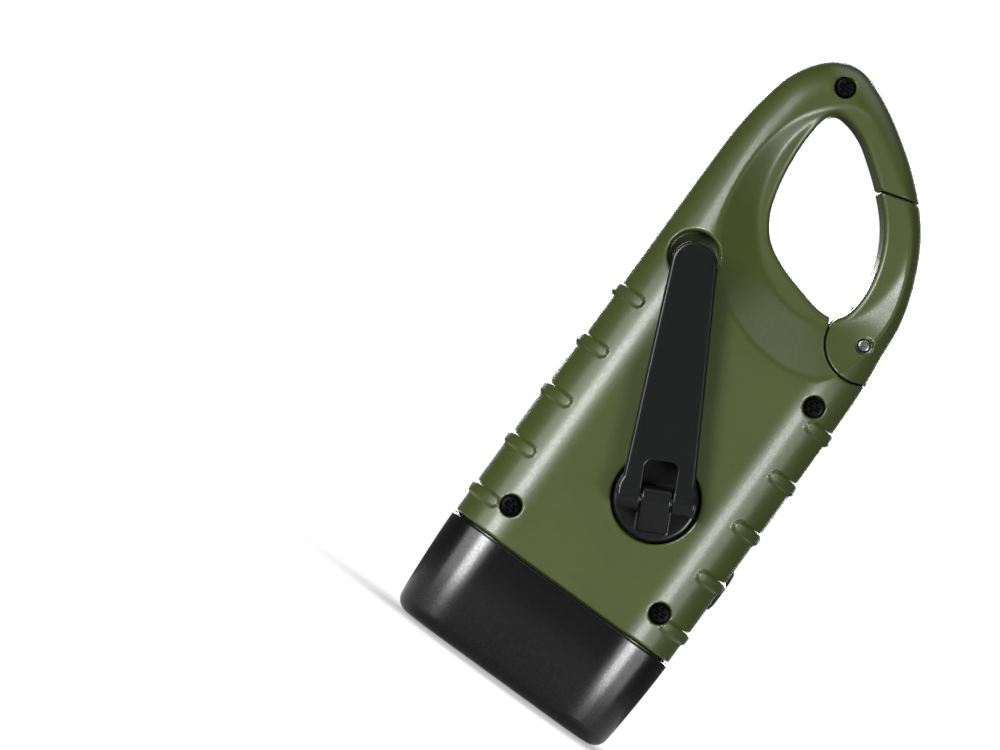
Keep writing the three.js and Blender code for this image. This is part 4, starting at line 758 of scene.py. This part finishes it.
def turned(points, place, segments=72, closed=False, relief=None):
    """A body of revolution: radius, height and rounding of each point give a profile, which is
    carried round a full turn. Where it starts and ends on the axis, those two ends become single
    corners. A relief adds a function of radius, angle and height to the height. The place maps
    across, height and up to x, y, z."""
    profile = round_corners(points, closed=closed)
    rings = profile if closed else profile[1:-1]
    angle = np.linspace(0, 2 * math.pi, segments, endpoint=False)
    radius, height = rings[:, :1], rings[:, 1:] + 0 * angle
    if relief is not None:
        height = height + relief(radius, angle[None, :], height)
    grid = place(radius * np.cos(angle), height, radius * np.sin(angle))
    corners, squares = grid.reshape(-1, 3), ring_faces(len(rings), segments, closed)
    if closed:
        return corners, squares, None, None
    first, last = profile[0, 1], profile[-1, 1]
    if relief is not None:
        first += relief(0, 0, first)
    ends = place(np.zeros(2), np.array((first, last)), np.zeros(2))
    return np.vstack((corners, ends)), squares, end_fans(len(rings), segments), None


def about_y(cx, cz):
    """Heights along Y, round an axis through (cx, cz)."""
    return lambda a, h, b: np.stack((cx + a, h, cz + b), axis=-1)


def about_x(cy, cz):
    """Heights along X, round an axis through (cy, cz)."""
    return lambda a, h, b: np.stack((h, cy + a, cz + b), axis=-1)


def about_z(cx):
    """Heights along Z, round an axis through (cx, 0)."""
    return lambda a, h, b: np.stack((cx + a, b, h), axis=-1)


print("an edge rounded in", len(round_corners([(0, 0, 0), (1, 0, 0.3), (1, 1, 0)])) - 2, "points")

# %% Knob, rivet and hinge pin
# Each profile is a list of radius, height and rounding, in millimetres.
KNOB = ((1.25, -21.3, 0.1), (4.1, -21.3, 0.5), (4.1, ARM_BOTTOM, 0.5), (2.5, ARM_BOTTOM, 0.2),
        (2.5, -19.7, 0.2), (1.25, -19.7, 0.1))
RIVET = ((0, -22.0, 0), (1.1, -22.0, 0.2), (1.1, -19.4, 0.1), (1.9, -19.4, 0.15),
         (1.6, -18.78, 0.3), (0, -18.7, 0))
FOLD_PIN = ((0, -7.1, 0), (0.9, -7.1, 0.2), (0.9, 7.1, 0.2), (0, 7.1, 0))
PIN_SEGMENTS = 40
on_rivet = about_y(0, ARM_LENGTH)
make_piece("knob_body", on_crank(turned(KNOB, on_rivet, closed=True)),
           "knob", "black_plastic", "crank_knob")
make_piece("rivet_head", on_crank(turned(RIVET, on_rivet)), "arm", "steel", "knob_rivet")
make_piece("fold_pin", on_crank(turned(FOLD_PIN, about_x(FOLD_Y, 0), PIN_SEGMENTS)),
           "arm", "steel", "hinge_pin")

# %% [markdown]
# ## Button, gate pin and spring
# The rubber-like button stands a little proud of the side and is slightly domed, so a thumb finds
# it. The gate's pin shows as a small pale dot in a dark ring on each side of the knuckle. The
# spring that shuts the gate is a wire wound round the pin: a small circle carried along a helix.

# %% Button, gate pin and spring
BUTTON_FACE = 26.9
BUTTON = ((0, 21.9, 0), (1.5, 21.9, 0.1), (1.5, 22.5, 0.1), (5.4, 22.5, 0.15), (5.4, 23.4, 0.15),
          (BUTTON_RADIUS, 23.4, 0.1), (BUTTON_RADIUS, BUTTON_FACE - 0.35, 0.45),
          (3.6, BUTTON_FACE - 0.1, 1.5), (0, BUTTON_FACE, 0))
make_piece("button_cap", turned(BUTTON, about_x(BUTTON_Y, BUTTON_Z)),
           "button", "black_plastic", "push_button")

PIN_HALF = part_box("gate_pin")[1][1] * 1000 - SHIFT[1]
GATE_PIN = ((0, -PIN_HALF, 0), (1.15, -PIN_HALF, 0.3), (1.15, PIN_HALF, 0.3), (0, PIN_HALF, 0))
make_piece("pivot_pin", turned(GATE_PIN, about_y(PIVOT_X, PIVOT_Z), PIN_SEGMENTS),
           "case", "steel", "gate_pin")

COIL = dict(turns=3, radius=2.2, wire=0.3, low=1.6, rise=0.75, leg=1.6, bend=0.3)


def coil(steps=48, sides=12):
    """A helix round the gate's pin with a straight leg at each end: the place goes round a circle
    while it climbs evenly, and the wire is a small circle square to the way it runs."""
    t = np.linspace(0, COIL["turns"], COIL["turns"] * steps + 1)
    a = t * 2 * math.pi
    way = np.stack((PIVOT_X + COIL["radius"] * np.cos(a), COIL["low"] + COIL["rise"] * t,
                    PIVOT_Z + COIL["radius"] * np.sin(a)), axis=1)
    leg = np.array((0, 0, COIL["leg"]))
    bend = leg * COIL["bend"]
    way = np.vstack((way[0] - leg, way[0] - bend, way[1:-1], way[-1] + bend, way[-1] + leg))
    ahead = np.gradient(way, axis=0)
    ahead /= np.linalg.norm(ahead, axis=1, keepdims=True)
    side = np.cross(ahead, (0.0, 1.0, 0.0))
    side /= np.linalg.norm(side, axis=1, keepdims=True)
    up = np.cross(side, ahead)
    b = np.linspace(0, 2 * math.pi, sides, endpoint=False)[None, :, None]
    grid = way[:, None] + COIL["wire"] * (np.cos(b) * side[:, None] + np.sin(b) * up[:, None])
    corners = np.vstack((grid.reshape(-1, 3), way[0], way[-1]))
    return corners, ring_faces(len(way), sides), end_fans(len(way), sides), None


make_piece("gate_coil", coil(), "case", "steel", "gate_spring")

# %% [markdown]
# ## Screws
# Four black screws sit deep in their holes. Their heads are shallow domes with a cross recess: the
# height over the head is a function of radius and angle, lowered where a place is inside one of the
# two bars of the cross, with a soft step so that the recess has sloping walls.

# %% Screws with a cross recess
CROSS_HALF, CROSS_REACH, CROSS_DEEP, CROSS_WALL, CROSS_LEVEL = 0.32, 1.15, 0.6, 0.14, 0.3
HEAD_RADIUS, HEAD_OUT, HEAD_UNDER, HEAD_EDGE = 1.95, 1.4, 0.3, 0.25
CROWN_RADIUS, CROWN_FALL, CROWN_RINGS = 1.5, 0.22, 26
SHANK_RADIUS, SHANK_TIP, SHANK_LENGTH = 1.2, 0.5, 5.2
SCREW_SEGMENTS = 96


def cross(radius, angle):
    """How much the head is lowered: zero away from the cross, its full depth inside, with a
    smooth step at its walls; outside the crown nothing changes."""
    a, b = np.abs(radius * np.cos(angle)), np.abs(radius * np.sin(angle))
    inside = np.maximum(np.minimum(a, b) - CROSS_HALF, np.maximum(a, b) - CROSS_REACH)
    return CROSS_DEEP * ease(0.5 - inside / CROSS_WALL / 2) * (radius < CROWN_RADIUS)


for number, (sx, sz, seat) in enumerate(SCREWS, 1):
    top, under, tip = -seat - HEAD_OUT, -seat - HEAD_UNDER, -seat + SHANK_LENGTH
    crown = [(r, top + CROWN_FALL * (r / HEAD_RADIUS) ** 2, 0)
             for r in np.linspace(0, CROWN_RADIUS, CROWN_RINGS)]
    shank = [(HEAD_RADIUS, top + HEAD_EDGE, 0.15), (HEAD_RADIUS, under, 0.1),
             (SHANK_RADIUS, under, 0.1), (SHANK_RADIUS, tip - SHANK_TIP, 0.2),
             (SHANK_TIP, tip, 0.2), (0, tip, 0)]
    surface = turned(crown + shank, about_y(sx, sz), SCREW_SEGMENTS,
                     relief=lambda r, a, h: cross(r, a) * (h < top + CROSS_LEVEL))
    make_piece(f"screw_{number}", surface, "case", "steel", f"case_screw_{number}")

# %% [markdown]
# ## The head
# The black head is a rounded box that narrows slightly to the front, with a broad rounded rim round
# the beam's opening. It is one closed profile: up the outside, over a small step that darkens the
# seam, and back down the inside. The profile is carried round a rounded rectangle, and every point
# of it says how high it is and how much larger or smaller the rectangle is there.

# %% The head
HEAD_FLARE, HEAD_TAPER, HEAD_CURVE, RIM_ROUND, HEAD_WALL = 0.25, 1.3, 1.6, 3.0, 1.9
HEAD_TOP, HEAD_STEP, LIP, BEAM_INSET = SEAM - SEAM_GAP / 2, 0.7, 2.1, 5.8
LEAST_CORNER = 8.0
STEP_EDGES, OPENING_EDGES = (0.4, 0.05, 0.1, 0.1), (0.3, 0.6)  # roundings of the profile


def head_grow(z):
    """How far the head's side stands out from the case's: its flare less a taper that grows
    towards the front as a power of the distance from the seam."""
    return HEAD_FLARE - HEAD_TAPER * (1 - np.asarray(z) / SEAM) ** HEAD_CURVE


def carried(profile, steps=14):
    """A closed profile of height and growth, carried round a rounded rectangle: the corner arcs
    grow with the rectangle, but are never tighter than those of the beam's opening."""
    grow = profile[:, 1]
    half_x, half_y = HALF_WIDTH + grow, HALF_DEPTH + grow
    corner = np.maximum(SHOULDER + grow, LEAST_CORNER)
    quarter = np.repeat(np.arange(4), steps + 1)
    angle = (quarter + np.tile(np.arange(steps + 1) / steps, 4)) * math.pi / 2
    sx = np.where((quarter == 0) | (quarter == 3), 1, -1)
    sy = np.where(quarter < 2, 1, -1)
    x = sx * (half_x - corner)[:, None] + corner[:, None] * np.cos(angle)
    y = sy * (half_y - corner)[:, None] + corner[:, None] * np.sin(angle)
    grid = np.stack((x, y, profile[:, :1] + 0 * x), axis=-1)
    return grid.reshape(-1, 3), ring_faces(len(profile), grid.shape[1], closed=True), None, None


RIM_POINTS, SIDE_POINTS, INNER_POINTS = 9, 14, 8
rim = np.linspace(0, math.pi / 2, RIM_POINTS)
outer_rim = np.stack((RIM_ROUND * (1 - np.cos(rim)),
                      head_grow(RIM_ROUND) - RIM_ROUND * (1 - np.sin(rim))), axis=1)
heights = np.linspace(RIM_ROUND, HEAD_TOP, SIDE_POINTS)[1:]
outer = np.stack((heights, head_grow(heights)), axis=1)
step_up = np.array(((HEAD_TOP, HEAD_FLARE - HEAD_STEP), (SEAM, HEAD_FLARE - HEAD_STEP)))
back = np.linspace(SEAM, LIP, INNER_POINTS)
inner = np.stack((back, head_grow(back) - HEAD_WALL), axis=1)
lip = np.array(((LIP, -BEAM_INSET), (0, -BEAM_INSET)))
profile = np.vstack((outer_rim, outer, step_up, inner, lip))
radii = np.zeros(len(profile))
top_corner = len(outer_rim) + len(outer) - 1
radii[top_corner:top_corner + len(STEP_EDGES)] = STEP_EDGES
radii[-len(OPENING_EDGES):] = OPENING_EDGES
make_piece("head_shell", carried(round_corners(np.column_stack((profile, radii)), closed=True)),
           "case", "black_plastic", "head_bezel")

# %% [markdown]
# ## Behind the beam's opening
# A clear lens covers a mirror-coated block with a parabolic cup for each of the three lamps. The
# cups are the only curved mirrors, so the block is a field again: a plate less three bowls.

# %% Reflector, lens and lamps
CUP_MOUTH, CUP_THROAT, CUP_PITCH = 6.4, 3.1, 13.6
CUP_PAST, CUP_COSINE = -0.2, 0.95  # how far a cup widens past its mouth, and its walls' slope
REFLECTOR_LOW, REFLECTOR_HIGH, REFLECTOR_EDGE, CUP_EDGE = 4.5, 15.6, 0.2, 0.25
PLATE = (22.84, 14.94, 8.94)  # half width, half depth and corner


def reflector(x, y, z):
    """A rounded plate less three bowls, whose radius falls with the square root of the depth."""
    middle, half = (REFLECTOR_LOW + REFLECTOR_HIGH) / 2, (REFLECTOR_HIGH - REFLECTOR_LOW) / 2
    body = both(rounded_rect(x, y, *PLATE), np.abs(z - middle) - half, REFLECTOR_EDGE)
    near = CUP_PITCH * np.clip(np.round(x / CUP_PITCH), -1, 1)
    rise = np.clip((z - REFLECTOR_LOW) / (REFLECTOR_HIGH - REFLECTOR_LOW), CUP_PAST, 1)
    bowl = CUP_THROAT + (CUP_MOUTH - CUP_THROAT) * np.sqrt(np.maximum(1 - rise, 0))
    return without(body, CUP_COSINE * (np.hypot(x - near, y) - bowl), CUP_EDGE)


CUP_STEP = 0.4
CUP_BOX = (-23, -15, 4.3), (23, 15, 15.8)
make_piece("reflector_block", skin(reflector, *CUP_BOX, CUP_STEP),
           "case", "mirror_coat", "reflector")

LAMP_RADIUS, LAMP_DOME, DOME_POINTS = 2.5, 10.5, 10
LAMP_FOOT = ((LAMP_RADIUS, 14.6, 0.05), (2.8, 14.6, 0.1), (2.8, 15.6, 0.1), (0, 15.6, 0))
dome = np.linspace(0, math.pi / 2, DOME_POINTS)
crown = np.stack((LAMP_RADIUS * np.sin(dome), LAMP_DOME - LAMP_RADIUS * np.cos(dome), 0 * dome),
                 axis=1)
lamp_points = np.vstack((crown, LAMP_FOOT))
for number, cx in enumerate((-CUP_PITCH, 0, CUP_PITCH), 1):
    make_piece(f"lamp_{number}", turned(lamp_points, about_z(cx), PIN_SEGMENTS),
               "case", "lamp_resin", f"led_{number}")

# %% [markdown]
# # Materials
# Each finish is named for the real material. Colours are written as the eye reads them and turned
# to linear light by one function. One small function adds a node. Grain and speckle are drawn at
# their real size, worked out from millimetres, because Object coordinates are in metres.

# %% Helpers for materials
def linear(code):
    """A colour written as sRGB hex, in linear light: below 0.04045 a straight line, above it a
    power of 2.4."""
    parts = np.array([int(code[i:i + 2], 16) / 255 for i in (1, 3, 5)])
    parts = np.where(parts <= 0.04045, parts / 12.92, ((parts + 0.055) / 1.055) ** 2.4)
    return (*parts, 1.0)


def per_mm(size):
    """The scale that gives a pattern this many millimetres per cell."""
    return 1000 / size


def add(material, kind, settings=None, links=None):
    """One node of a material or a world: its settings go to its own sockets or properties, its
    links come from others."""
    node = material.node_tree.nodes.new(kind)
    for key, value in (settings or {}).items():
        if isinstance(key, int) or key in node.inputs:
            node.inputs[key].default_value = value
        else:
            setattr(node, key, value)
    for key, output in (links or {}).items():
        material.node_tree.links.new(output, node.inputs[key])
    return node


def new_material(name, **shader):
    """A material with its shader's constants set on the shader's own sockets."""
    material = bpy.data.materials.new(name)
    material.use_nodes = True
    bsdf = material.node_tree.nodes["Principled BSDF"]
    for key, value in shader.items():
        bsdf.inputs[key.replace("_", " ").title().replace("Ior", "IOR")].default_value = value
    print("finish:", name)
    return material, bsdf


def link(material, output, socket):
    """A link to a socket of a node that is already there."""
    material.node_tree.links.new(output, socket)


def place_of(material):
    """Object coordinates, which are in metres."""
    return add(material, "ShaderNodeTexCoord").outputs["Object"]


def two_tones(material, source, low, high, start=0.3, end=0.7):
    """A ramp between two sRGB colours over part of a pattern's range."""
    ramp = add(material, "ShaderNodeValToRGB", links={"Fac": source})
    first, last = ramp.color_ramp.elements
    first.position, last.position = start, end
    first.color, last.color = linear(low), linear(high)
    return ramp.outputs["Color"]


def between(material, source, low, high, start=0.3, end=0.7):
    """A number that follows a pattern from low to high."""
    node = add(material, "ShaderNodeMapRange", {"From Min": start, "From Max": end,
                                                "To Min": low, "To Max": high}, {"Value": source})
    return node.outputs["Result"]


def noise(material, size, detail=2.0, rough=0.5):
    """A cloudy pattern whose cells are this many millimetres across."""
    node = add(material, "ShaderNodeTexNoise", {"Scale": per_mm(size), "Detail": detail,
                                                "Roughness": rough}, {"Vector": place_of(material)})
    return node.outputs["Fac"]


def bumped(material, bsdf, height, depth_mm, strength=1.0):
    """A bump whose full height is a real depth in millimetres."""
    bump = add(material, "ShaderNodeBump", {"Strength": strength, "Distance": depth_mm / 1000},
               {"Height": height})
    link(material, bump.outputs["Normal"], bsdf.inputs["Normal"])


print("half grey in linear light:", round(linear("#808080")[0], 3))

# %% [markdown]
# ## Moulded ABS
# The case is ABS coloured in the mass and moulded in a finely sparked tool: satin, so highlights
# are broad, with a faint grain. The skin of such a moulding is glossier than its body. A coat
# stands for that skin and gives a highlight its bright middle; the rougher body gives it soft
# sides. The green wanders a little in tone, as flow in the mould leaves it. The head and the crank
# are the same plastic in black.

# %% Green and black plastic
FLOW_MM, ABS_IOR = 14, 1.54  # how far the tone wanders, and what ABS bends light by


def moulded_plastic(name, tone, lighter, grain_mm, depth_mm, gloss_low, gloss_high, satin=0,
                    **shader):
    """Moulded plastic: colour from slow noise, grain as a fine bump, roughness that varies. A
    satin tool leaves a gloss that changes from grain to grain, from a third of the satin to all."""
    material, bsdf = new_material(name, ior=ABS_IOR, **shader)
    slow, fine = noise(material, FLOW_MM, 3), noise(material, grain_mm, 2, 0.6)
    if satin:
        link(material, between(material, fine, satin / 3, satin), bsdf.inputs["Coat Weight"])
    link(material, two_tones(material, slow, tone, lighter), bsdf.inputs["Base Color"])
    link(material, between(material, fine, gloss_low, gloss_high), bsdf.inputs["Roughness"])
    bumped(material, bsdf, fine, depth_mm)
    return material


olive_abs = moulded_plastic("olive ABS, spark-textured mould", "#414a1b", "#464f1e", 0.45, 0.008,
                            0.4, 0.48, satin=1.0, coat_roughness=0.22)
black_abs = moulded_plastic("black ABS, spark-textured mould", "#050506", "#080809", 0.45, 0.005,
                            0.22, 0.26, satin=1.0, coat_roughness=0.19)
crank_abs = moulded_plastic("black ABS, polished mould", "#0b0c0c", "#0f1011", 0.5, 0.003,
                            0.28, 0.32)
frame_abs = moulded_plastic("charcoal ABS, satin mould", "#26272b", "#2e3034", 0.8, 0.008,
                            0.24, 0.34)
button_rubber = moulded_plastic("black silicone rubber, moulded", "#121213", "#19191b", 0.7, 0.01,
                                0.42, 0.55)

# %% [markdown]
# ## The solar cell's window
# Under a glossy clear window lies a thin-film cell. It reads as a dark red brown with fine lighter
# lines across it, one for each strip of the cell, a little over four millimetres apart. The lines
# are part of the pattern, not of the shape: a wave of the height picks a narrow band round each.

# %% Cell window
CELL_PITCH, CELL_FIRST, LINE_WIDTH, CLOUD_MM = 4.2, 37.3, 0.28, 9


def cell_window():
    """Dark red brown under a clear coat, with a thin lighter line every strip of the cell."""
    material, bsdf = new_material("thin-film solar cell under glass", ior=1.5, roughness=0.16,
                                  coat_weight=1.0, coat_roughness=0.06, coat_ior=1.5)
    place = add(material, "ShaderNodeSeparateXYZ", links={"Vector": place_of(material)})
    strip = add(material, "ShaderNodeMath", {"operation": "PINGPONG", 1: CELL_PITCH / 2000},
                {0: add(material, "ShaderNodeMath", {"operation": "SUBTRACT", 1: CELL_FIRST / 1000},
                        {0: place.outputs["Z"]}).outputs["Value"]})
    line = between(material, strip.outputs["Value"], 1, 0, LINE_WIDTH / 3000, LINE_WIDTH / 1200)
    cloud = noise(material, CLOUD_MM, 2)
    base = two_tones(material, cloud, "#4a1c18", "#5a2620")
    mix = add(material, "ShaderNodeMix", {"data_type": "RGBA", 7: linear("#7c4a40")},
              {0: line, 6: base})
    link(material, mix.outputs[2], bsdf.inputs["Base Color"])
    return material


solar_glass = cell_window()

# %% [markdown]
# ## Metals, resins and the rest
# The pin and the spring are drawn steel wire, the case screws are blackened steel, the reflector
# is a vacuum coating of aluminium. The lens is clear polycarbonate. What sits inside the case gets
# its own plain finish, because it shows when a half of the case is taken off.

# %% Metals
def drawn_metal(name, tone, lighter, rough_low, rough_high, grain_mm=0.5):
    """Metal with fine drawing marks: roughness and colour follow a noise."""
    material, bsdf = new_material(name, metallic=1.0)
    marks = noise(material, grain_mm, 3, 0.6)
    link(material, two_tones(material, marks, tone, lighter), bsdf.inputs["Base Color"])
    link(material, between(material, marks, rough_low, rough_high), bsdf.inputs["Roughness"])
    return material


bright_steel = drawn_metal("spring steel, drawn", "#b3b5b8", "#c9cbcd", 0.22, 0.34)
black_steel = drawn_metal("blackened steel, rolled thread", "#161617", "#202022", 0.4, 0.55)
mirror = drawn_metal("aluminium, vacuum coated", "#e3e4e6", "#ecedef", 0.06, 0.1, 3)
tin_steel = drawn_metal("tin-plated steel, stamped", "#a9abad", "#b9bbbe", 0.3, 0.42, 1.2)
winding = drawn_metal("enamelled copper, wound", "#a5602c", "#b8733a", 0.3, 0.42, 0.3)

# %% Resins, board and ferrite
lens_pc, lens_bsdf = new_material("clear polycarbonate, polished mould", ior=1.58, roughness=0.04,
                                  transmission_weight=1.0, base_color=linear("#f4f7f8"))
link(lens_pc, between(lens_pc, noise(lens_pc, 5), 0.03, 0.06), lens_bsdf.inputs["Roughness"])
lamp_epoxy = moulded_plastic("milky epoxy, cast", "#efe9d2", "#f6f2e2", 1.0, 0.003, 0.16, 0.22,
                             transmission_weight=0.3)
nylon = moulded_plastic("natural nylon, moulded", "#ded8c6", "#e8e3d4", 0.8, 0.01, 0.42, 0.55)
ferrite = moulded_plastic("ferrite, sintered", "#2d2c2d", "#38373a", 0.5, 0.03, 0.55, 0.7)
green_board = moulded_plastic("glass-epoxy board, solder mask", "#1f5a36", "#286b41", 0.9, 0.01,
                              0.3, 0.42)
cell_wrap = moulded_plastic("heat-shrink sleeve on button cells", "#3c3f45", "#4a4e55", 1.4, 0.01,
                            0.3, 0.4)

# %% [markdown]
# ## Giving out the finishes
# New pieces and the solids of the frame get theirs by name. A solid without a line of its own is a
# small screw inside the case, in bright steel.

# %% Finishes for pieces and solids
BY_PIECE = (
    (olive_abs, "case_front", "case_back", "gate_arm"),
    (black_abs, "head_shell"),
    (crank_abs, "arm_bar", "hub_disc", "knob_body"),
    (frame_abs, "panel_frame"),
    (button_rubber, "button_cap"),
    (bright_steel, "pivot_pin", "gate_coil", "fold_pin", "rivet_head"),
    (black_steel, "screw_1", "screw_2", "screw_3", "screw_4"),
    (mirror, "reflector_block"),
    (lamp_epoxy, "lamp_1", "lamp_2", "lamp_3"),
)
for finish, *names in BY_PIECE:
    for name in names:
        bpy.data.objects[name].data.materials.append(finish)

BY_NODE = {
    "lens": lens_pc, "solar_window": solar_glass, "solar_cell": solar_glass,
    "led_board": green_board, "main_board": green_board, "crank_gear": nylon,
    "compound_gear": nylon, "switch_plunger": nylon, "switch_body": black_abs,
    "crank_clip": bright_steel, "gear_axle": bright_steel, "rotor_shaft": bright_steel,
    "gear_plate": tin_steel, "stator_can": tin_steel, "rotor_magnet": ferrite,
    "stator_coil": winding, "battery_pack": cell_wrap,
}
for name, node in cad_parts.items():
    node.data.materials.clear()
    node.data.materials.append(BY_NODE.get(name, bright_steel))
print("finishes:", len(bpy.data.materials))

# %% [markdown]
# # Floor, light and camera
# The object stands on a plain white floor before a white background. The floor fades to pure white
# away from the object, so no horizon shows, and it keeps the object's own soft shadow.

# %% Floor and background
def disc(radius, segments=96):
    """A flat disc: one corner in the middle and a ring round it."""
    a = np.linspace(0, 2 * math.pi, segments, endpoint=False)
    ring = np.stack((radius * np.cos(a), radius * np.sin(a), 0 * a), axis=1)
    mesh = bpy.data.meshes.new("floor")
    mesh.from_pydata(ring.tolist(), [], [tuple(range(segments))])
    floor = bpy.data.objects.new("floor", mesh)
    bpy.context.scene.collection.objects.link(floor)
    return floor


FLOOR_RADIUS, FLOOR_BELOW, MIRROR_START = 0.11, 0.0003, 0.1
floor = disc(FLOOR_RADIUS)
floor.location.z = -FLOOR_BELOW
floor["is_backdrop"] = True
paper, paper_bsdf = new_material("white paper sweep", roughness=0.9, base_color=linear("#ebebeb"))
reach = add(paper, "ShaderNodeVectorMath", {"operation": "LENGTH"}, {0: place_of(paper)})
rays = add(paper, "ShaderNodeLightPath")


def faded(start, end, ray, least=0.0):
    """How much of the white shows: the least nearer than the start, all past the end."""
    fade = add(paper, "ShaderNodeMapRange", {"From Min": start, "From Max": end, "To Min": least,
                                             "interpolation_type": "SMOOTHSTEP"},
               {"Value": reach.outputs["Value"]})
    return add(paper, "ShaderNodeMath", {"operation": "MULTIPLY"},
               {0: fade.outputs["Result"], 1: ray}).outputs["Value"]


SHADOW_START, SHADOW_END, SHADOW_WHITE = 0.024, 0.05, 0.4
mirrored = add(paper, "ShaderNodeMath", {"operation": "MAXIMUM"},
               {0: rays.outputs["Is Glossy Ray"], 1: rays.outputs["Is Transmission Ray"]})
amount = add(paper, "ShaderNodeMath", {"operation": "MAXIMUM"},
             {0: faded(SHADOW_START, SHADOW_END, rays.outputs["Is Camera Ray"], SHADOW_WHITE),
              1: faded(MIRROR_START, FLOOR_RADIUS, mirrored.outputs["Value"])})
white = add(paper, "ShaderNodeEmission", {"Color": (1, 1, 1, 1), "Strength": 1.0})
mix = add(paper, "ShaderNodeMixShader", links={0: amount.outputs["Value"],
                                               1: paper_bsdf.outputs["BSDF"],
                                               2: white.outputs["Emission"]})
link(paper, mix.outputs["Shader"], paper.node_tree.nodes["Material Output"].inputs["Surface"])
floor.data.materials.append(paper)

# %% The world
WORLD_LIGHT, CARD_START, CARD_END = 0.05, 0.8, 0.95
world = bpy.data.worlds.new("studio")
world.use_nodes = True
bpy.context.scene.world = world
sky = world.node_tree.nodes["Background"]
sky.inputs["Color"].default_value = (1, 1, 1, 1)
sky.inputs["Strength"].default_value = WORLD_LIGHT
plain = add(world, "ShaderNodeBackground", {"Color": (1, 1, 1, 1), "Strength": 1.0})
path = add(world, "ShaderNodeLightPath")
# Metal and glass see the white of the background too, overhead like a studio ceiling.
ahead = add(world, "ShaderNodeTexCoord")
split = add(world, "ShaderNodeSeparateXYZ", links={"Vector": ahead.outputs["Generated"]})
card = add(world, "ShaderNodeMapRange", {"From Min": CARD_START, "From Max": CARD_END},
           {"Value": split.outputs["Z"]})
shown = add(world, "ShaderNodeMath", {"operation": "MULTIPLY_ADD"},
            {0: path.outputs["Is Glossy Ray"], 1: card.outputs["Result"],
             2: path.outputs["Is Camera Ray"]})
every = add(world, "ShaderNodeMath", {"operation": "MAXIMUM"},
            {0: path.outputs["Is Transmission Ray"], 1: shown.outputs["Value"]})
choose = add(world, "ShaderNodeMixShader", links={0: every.outputs["Value"],
                                                  1: sky.outputs["Background"],
                                                  2: plain.outputs["Background"]})
link(world, choose.outputs["Shader"], world.node_tree.nodes["World Output"].inputs["Surface"])
print("nodes of the floor's paper and of the world:",
      len(paper.node_tree.nodes), len(world.node_tree.nodes))

# %% [markdown]
# ## Soft studio light
# On the crank side a wide, dim box and a narrow, strong one stand to the left and to the right,
# level with the object. Together they give each shoulder a long highlight with a bright middle and
# soft sides. A smaller box, higher up, lights the hook. Behind the object two boxes light the solar
# panel. They stand close to the line through the camera and the object, so that from the front they
# touch the outline only as a hairline.

# %% Soft boxes
MIDDLE = np.array((0.0, 0.0, 0.070))


def soft_box(name, direction, distance, width, height, power):
    """A rectangular lamp that faces the middle of the object from a direction."""
    lamp = bpy.data.lights.new(name, "AREA")
    lamp.shape, lamp.size, lamp.size_y, lamp.energy = "RECTANGLE", width, height, power
    box = bpy.data.objects.new(name, lamp)
    ahead = np.array(direction, float)
    ahead /= np.linalg.norm(ahead)
    box.location = MIDDLE + ahead * distance
    box.rotation_euler = mathutils.Vector(ahead).to_track_quat("Z", "Y").to_euler()
    bpy.context.scene.collection.objects.link(box)
    print(name, "at", distance, "m,", power, "W")


soft_box("left wide box, crank side", (-0.755, -0.656, -0.04), 0.8, 0.85, 0.30, 2.1)
soft_box("left core box, crank side", (-0.64, -0.77, -0.04), 0.78, 0.24, 0.28, 2.9)
soft_box("right wide box, crank side", (0.755, -0.656, -0.04), 0.8, 0.85, 0.30, 1.8)
soft_box("right core box, crank side", (0.64, -0.77, -0.04), 0.78, 0.24, 0.28, 2.3)
soft_box("tail box, crank side", (-0.66, -0.72, 0.30), 0.8, 0.34, 0.16, 1.4)
soft_box("left box, panel side", (-0.27, 0.93, 0.25), 1.2, 0.36, 0.6, 7.6)
soft_box("right box, panel side", (0.27, 0.93, 0.25), 1.2, 0.36, 0.6, 6.2)

# %% [markdown]
# ## The camera
# The photograph shows this side square on, from far enough away that nothing looks foreshortened,
# with the tail up to the right. A long lens a metre and a half away does the same, and the camera
# is rolled by the slant of the picture.

# %% Camera
SLANT = math.radians(54.0)  # of the object's length in the picture, from level
MM_PER_PIXEL = 0.199
PICTURE_WIDTH, PICTURE_HEIGHT = 1000, 750
MIDDLE_AT = (704, 392)  # picture place of the object's middle
DISTANCE = 1.5

camera_data = bpy.data.cameras.new("camera")
camera = bpy.data.objects.new("camera", camera_data)
bpy.context.scene.collection.objects.link(camera)
camera_data.lens = camera_data.sensor_width * DISTANCE * 1000 / (MM_PER_PIXEL * PICTURE_WIDTH)
right = np.array((math.sin(SLANT), 0, math.cos(SLANT)))
up = np.array((-math.cos(SLANT), 0, math.sin(SLANT)))
back = np.array((0, -1, 0))
off_right = (MIDDLE_AT[0] - PICTURE_WIDTH / 2) * MM_PER_PIXEL / 1000
off_up = (PICTURE_HEIGHT / 2 - MIDDLE_AT[1]) * MM_PER_PIXEL / 1000
camera.rotation_euler = mathutils.Matrix(np.stack((right, up, back), axis=1).tolist()).to_euler()
camera.location = MIDDLE + back * DISTANCE - right * off_right - up * off_up
bpy.context.scene.camera = camera
bpy.context.scene.view_settings.view_transform = "Standard"
print("lens:", round(camera_data.lens), "mm")

# %% [markdown]
# ## The size against the solids
# The dressed model has to stay inside the box of the solids. How far each side of its box lies from
# that box is printed, in millimetres.

# %% Sizes and the last line
dressed_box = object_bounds()
for axis, letter in enumerate("xyz"):
    moved = [round(1000 * (dressed_box[i][axis] - cad_box[i][axis]), 2) for i in (0, 1)]
    print(letter, moved, "mm")
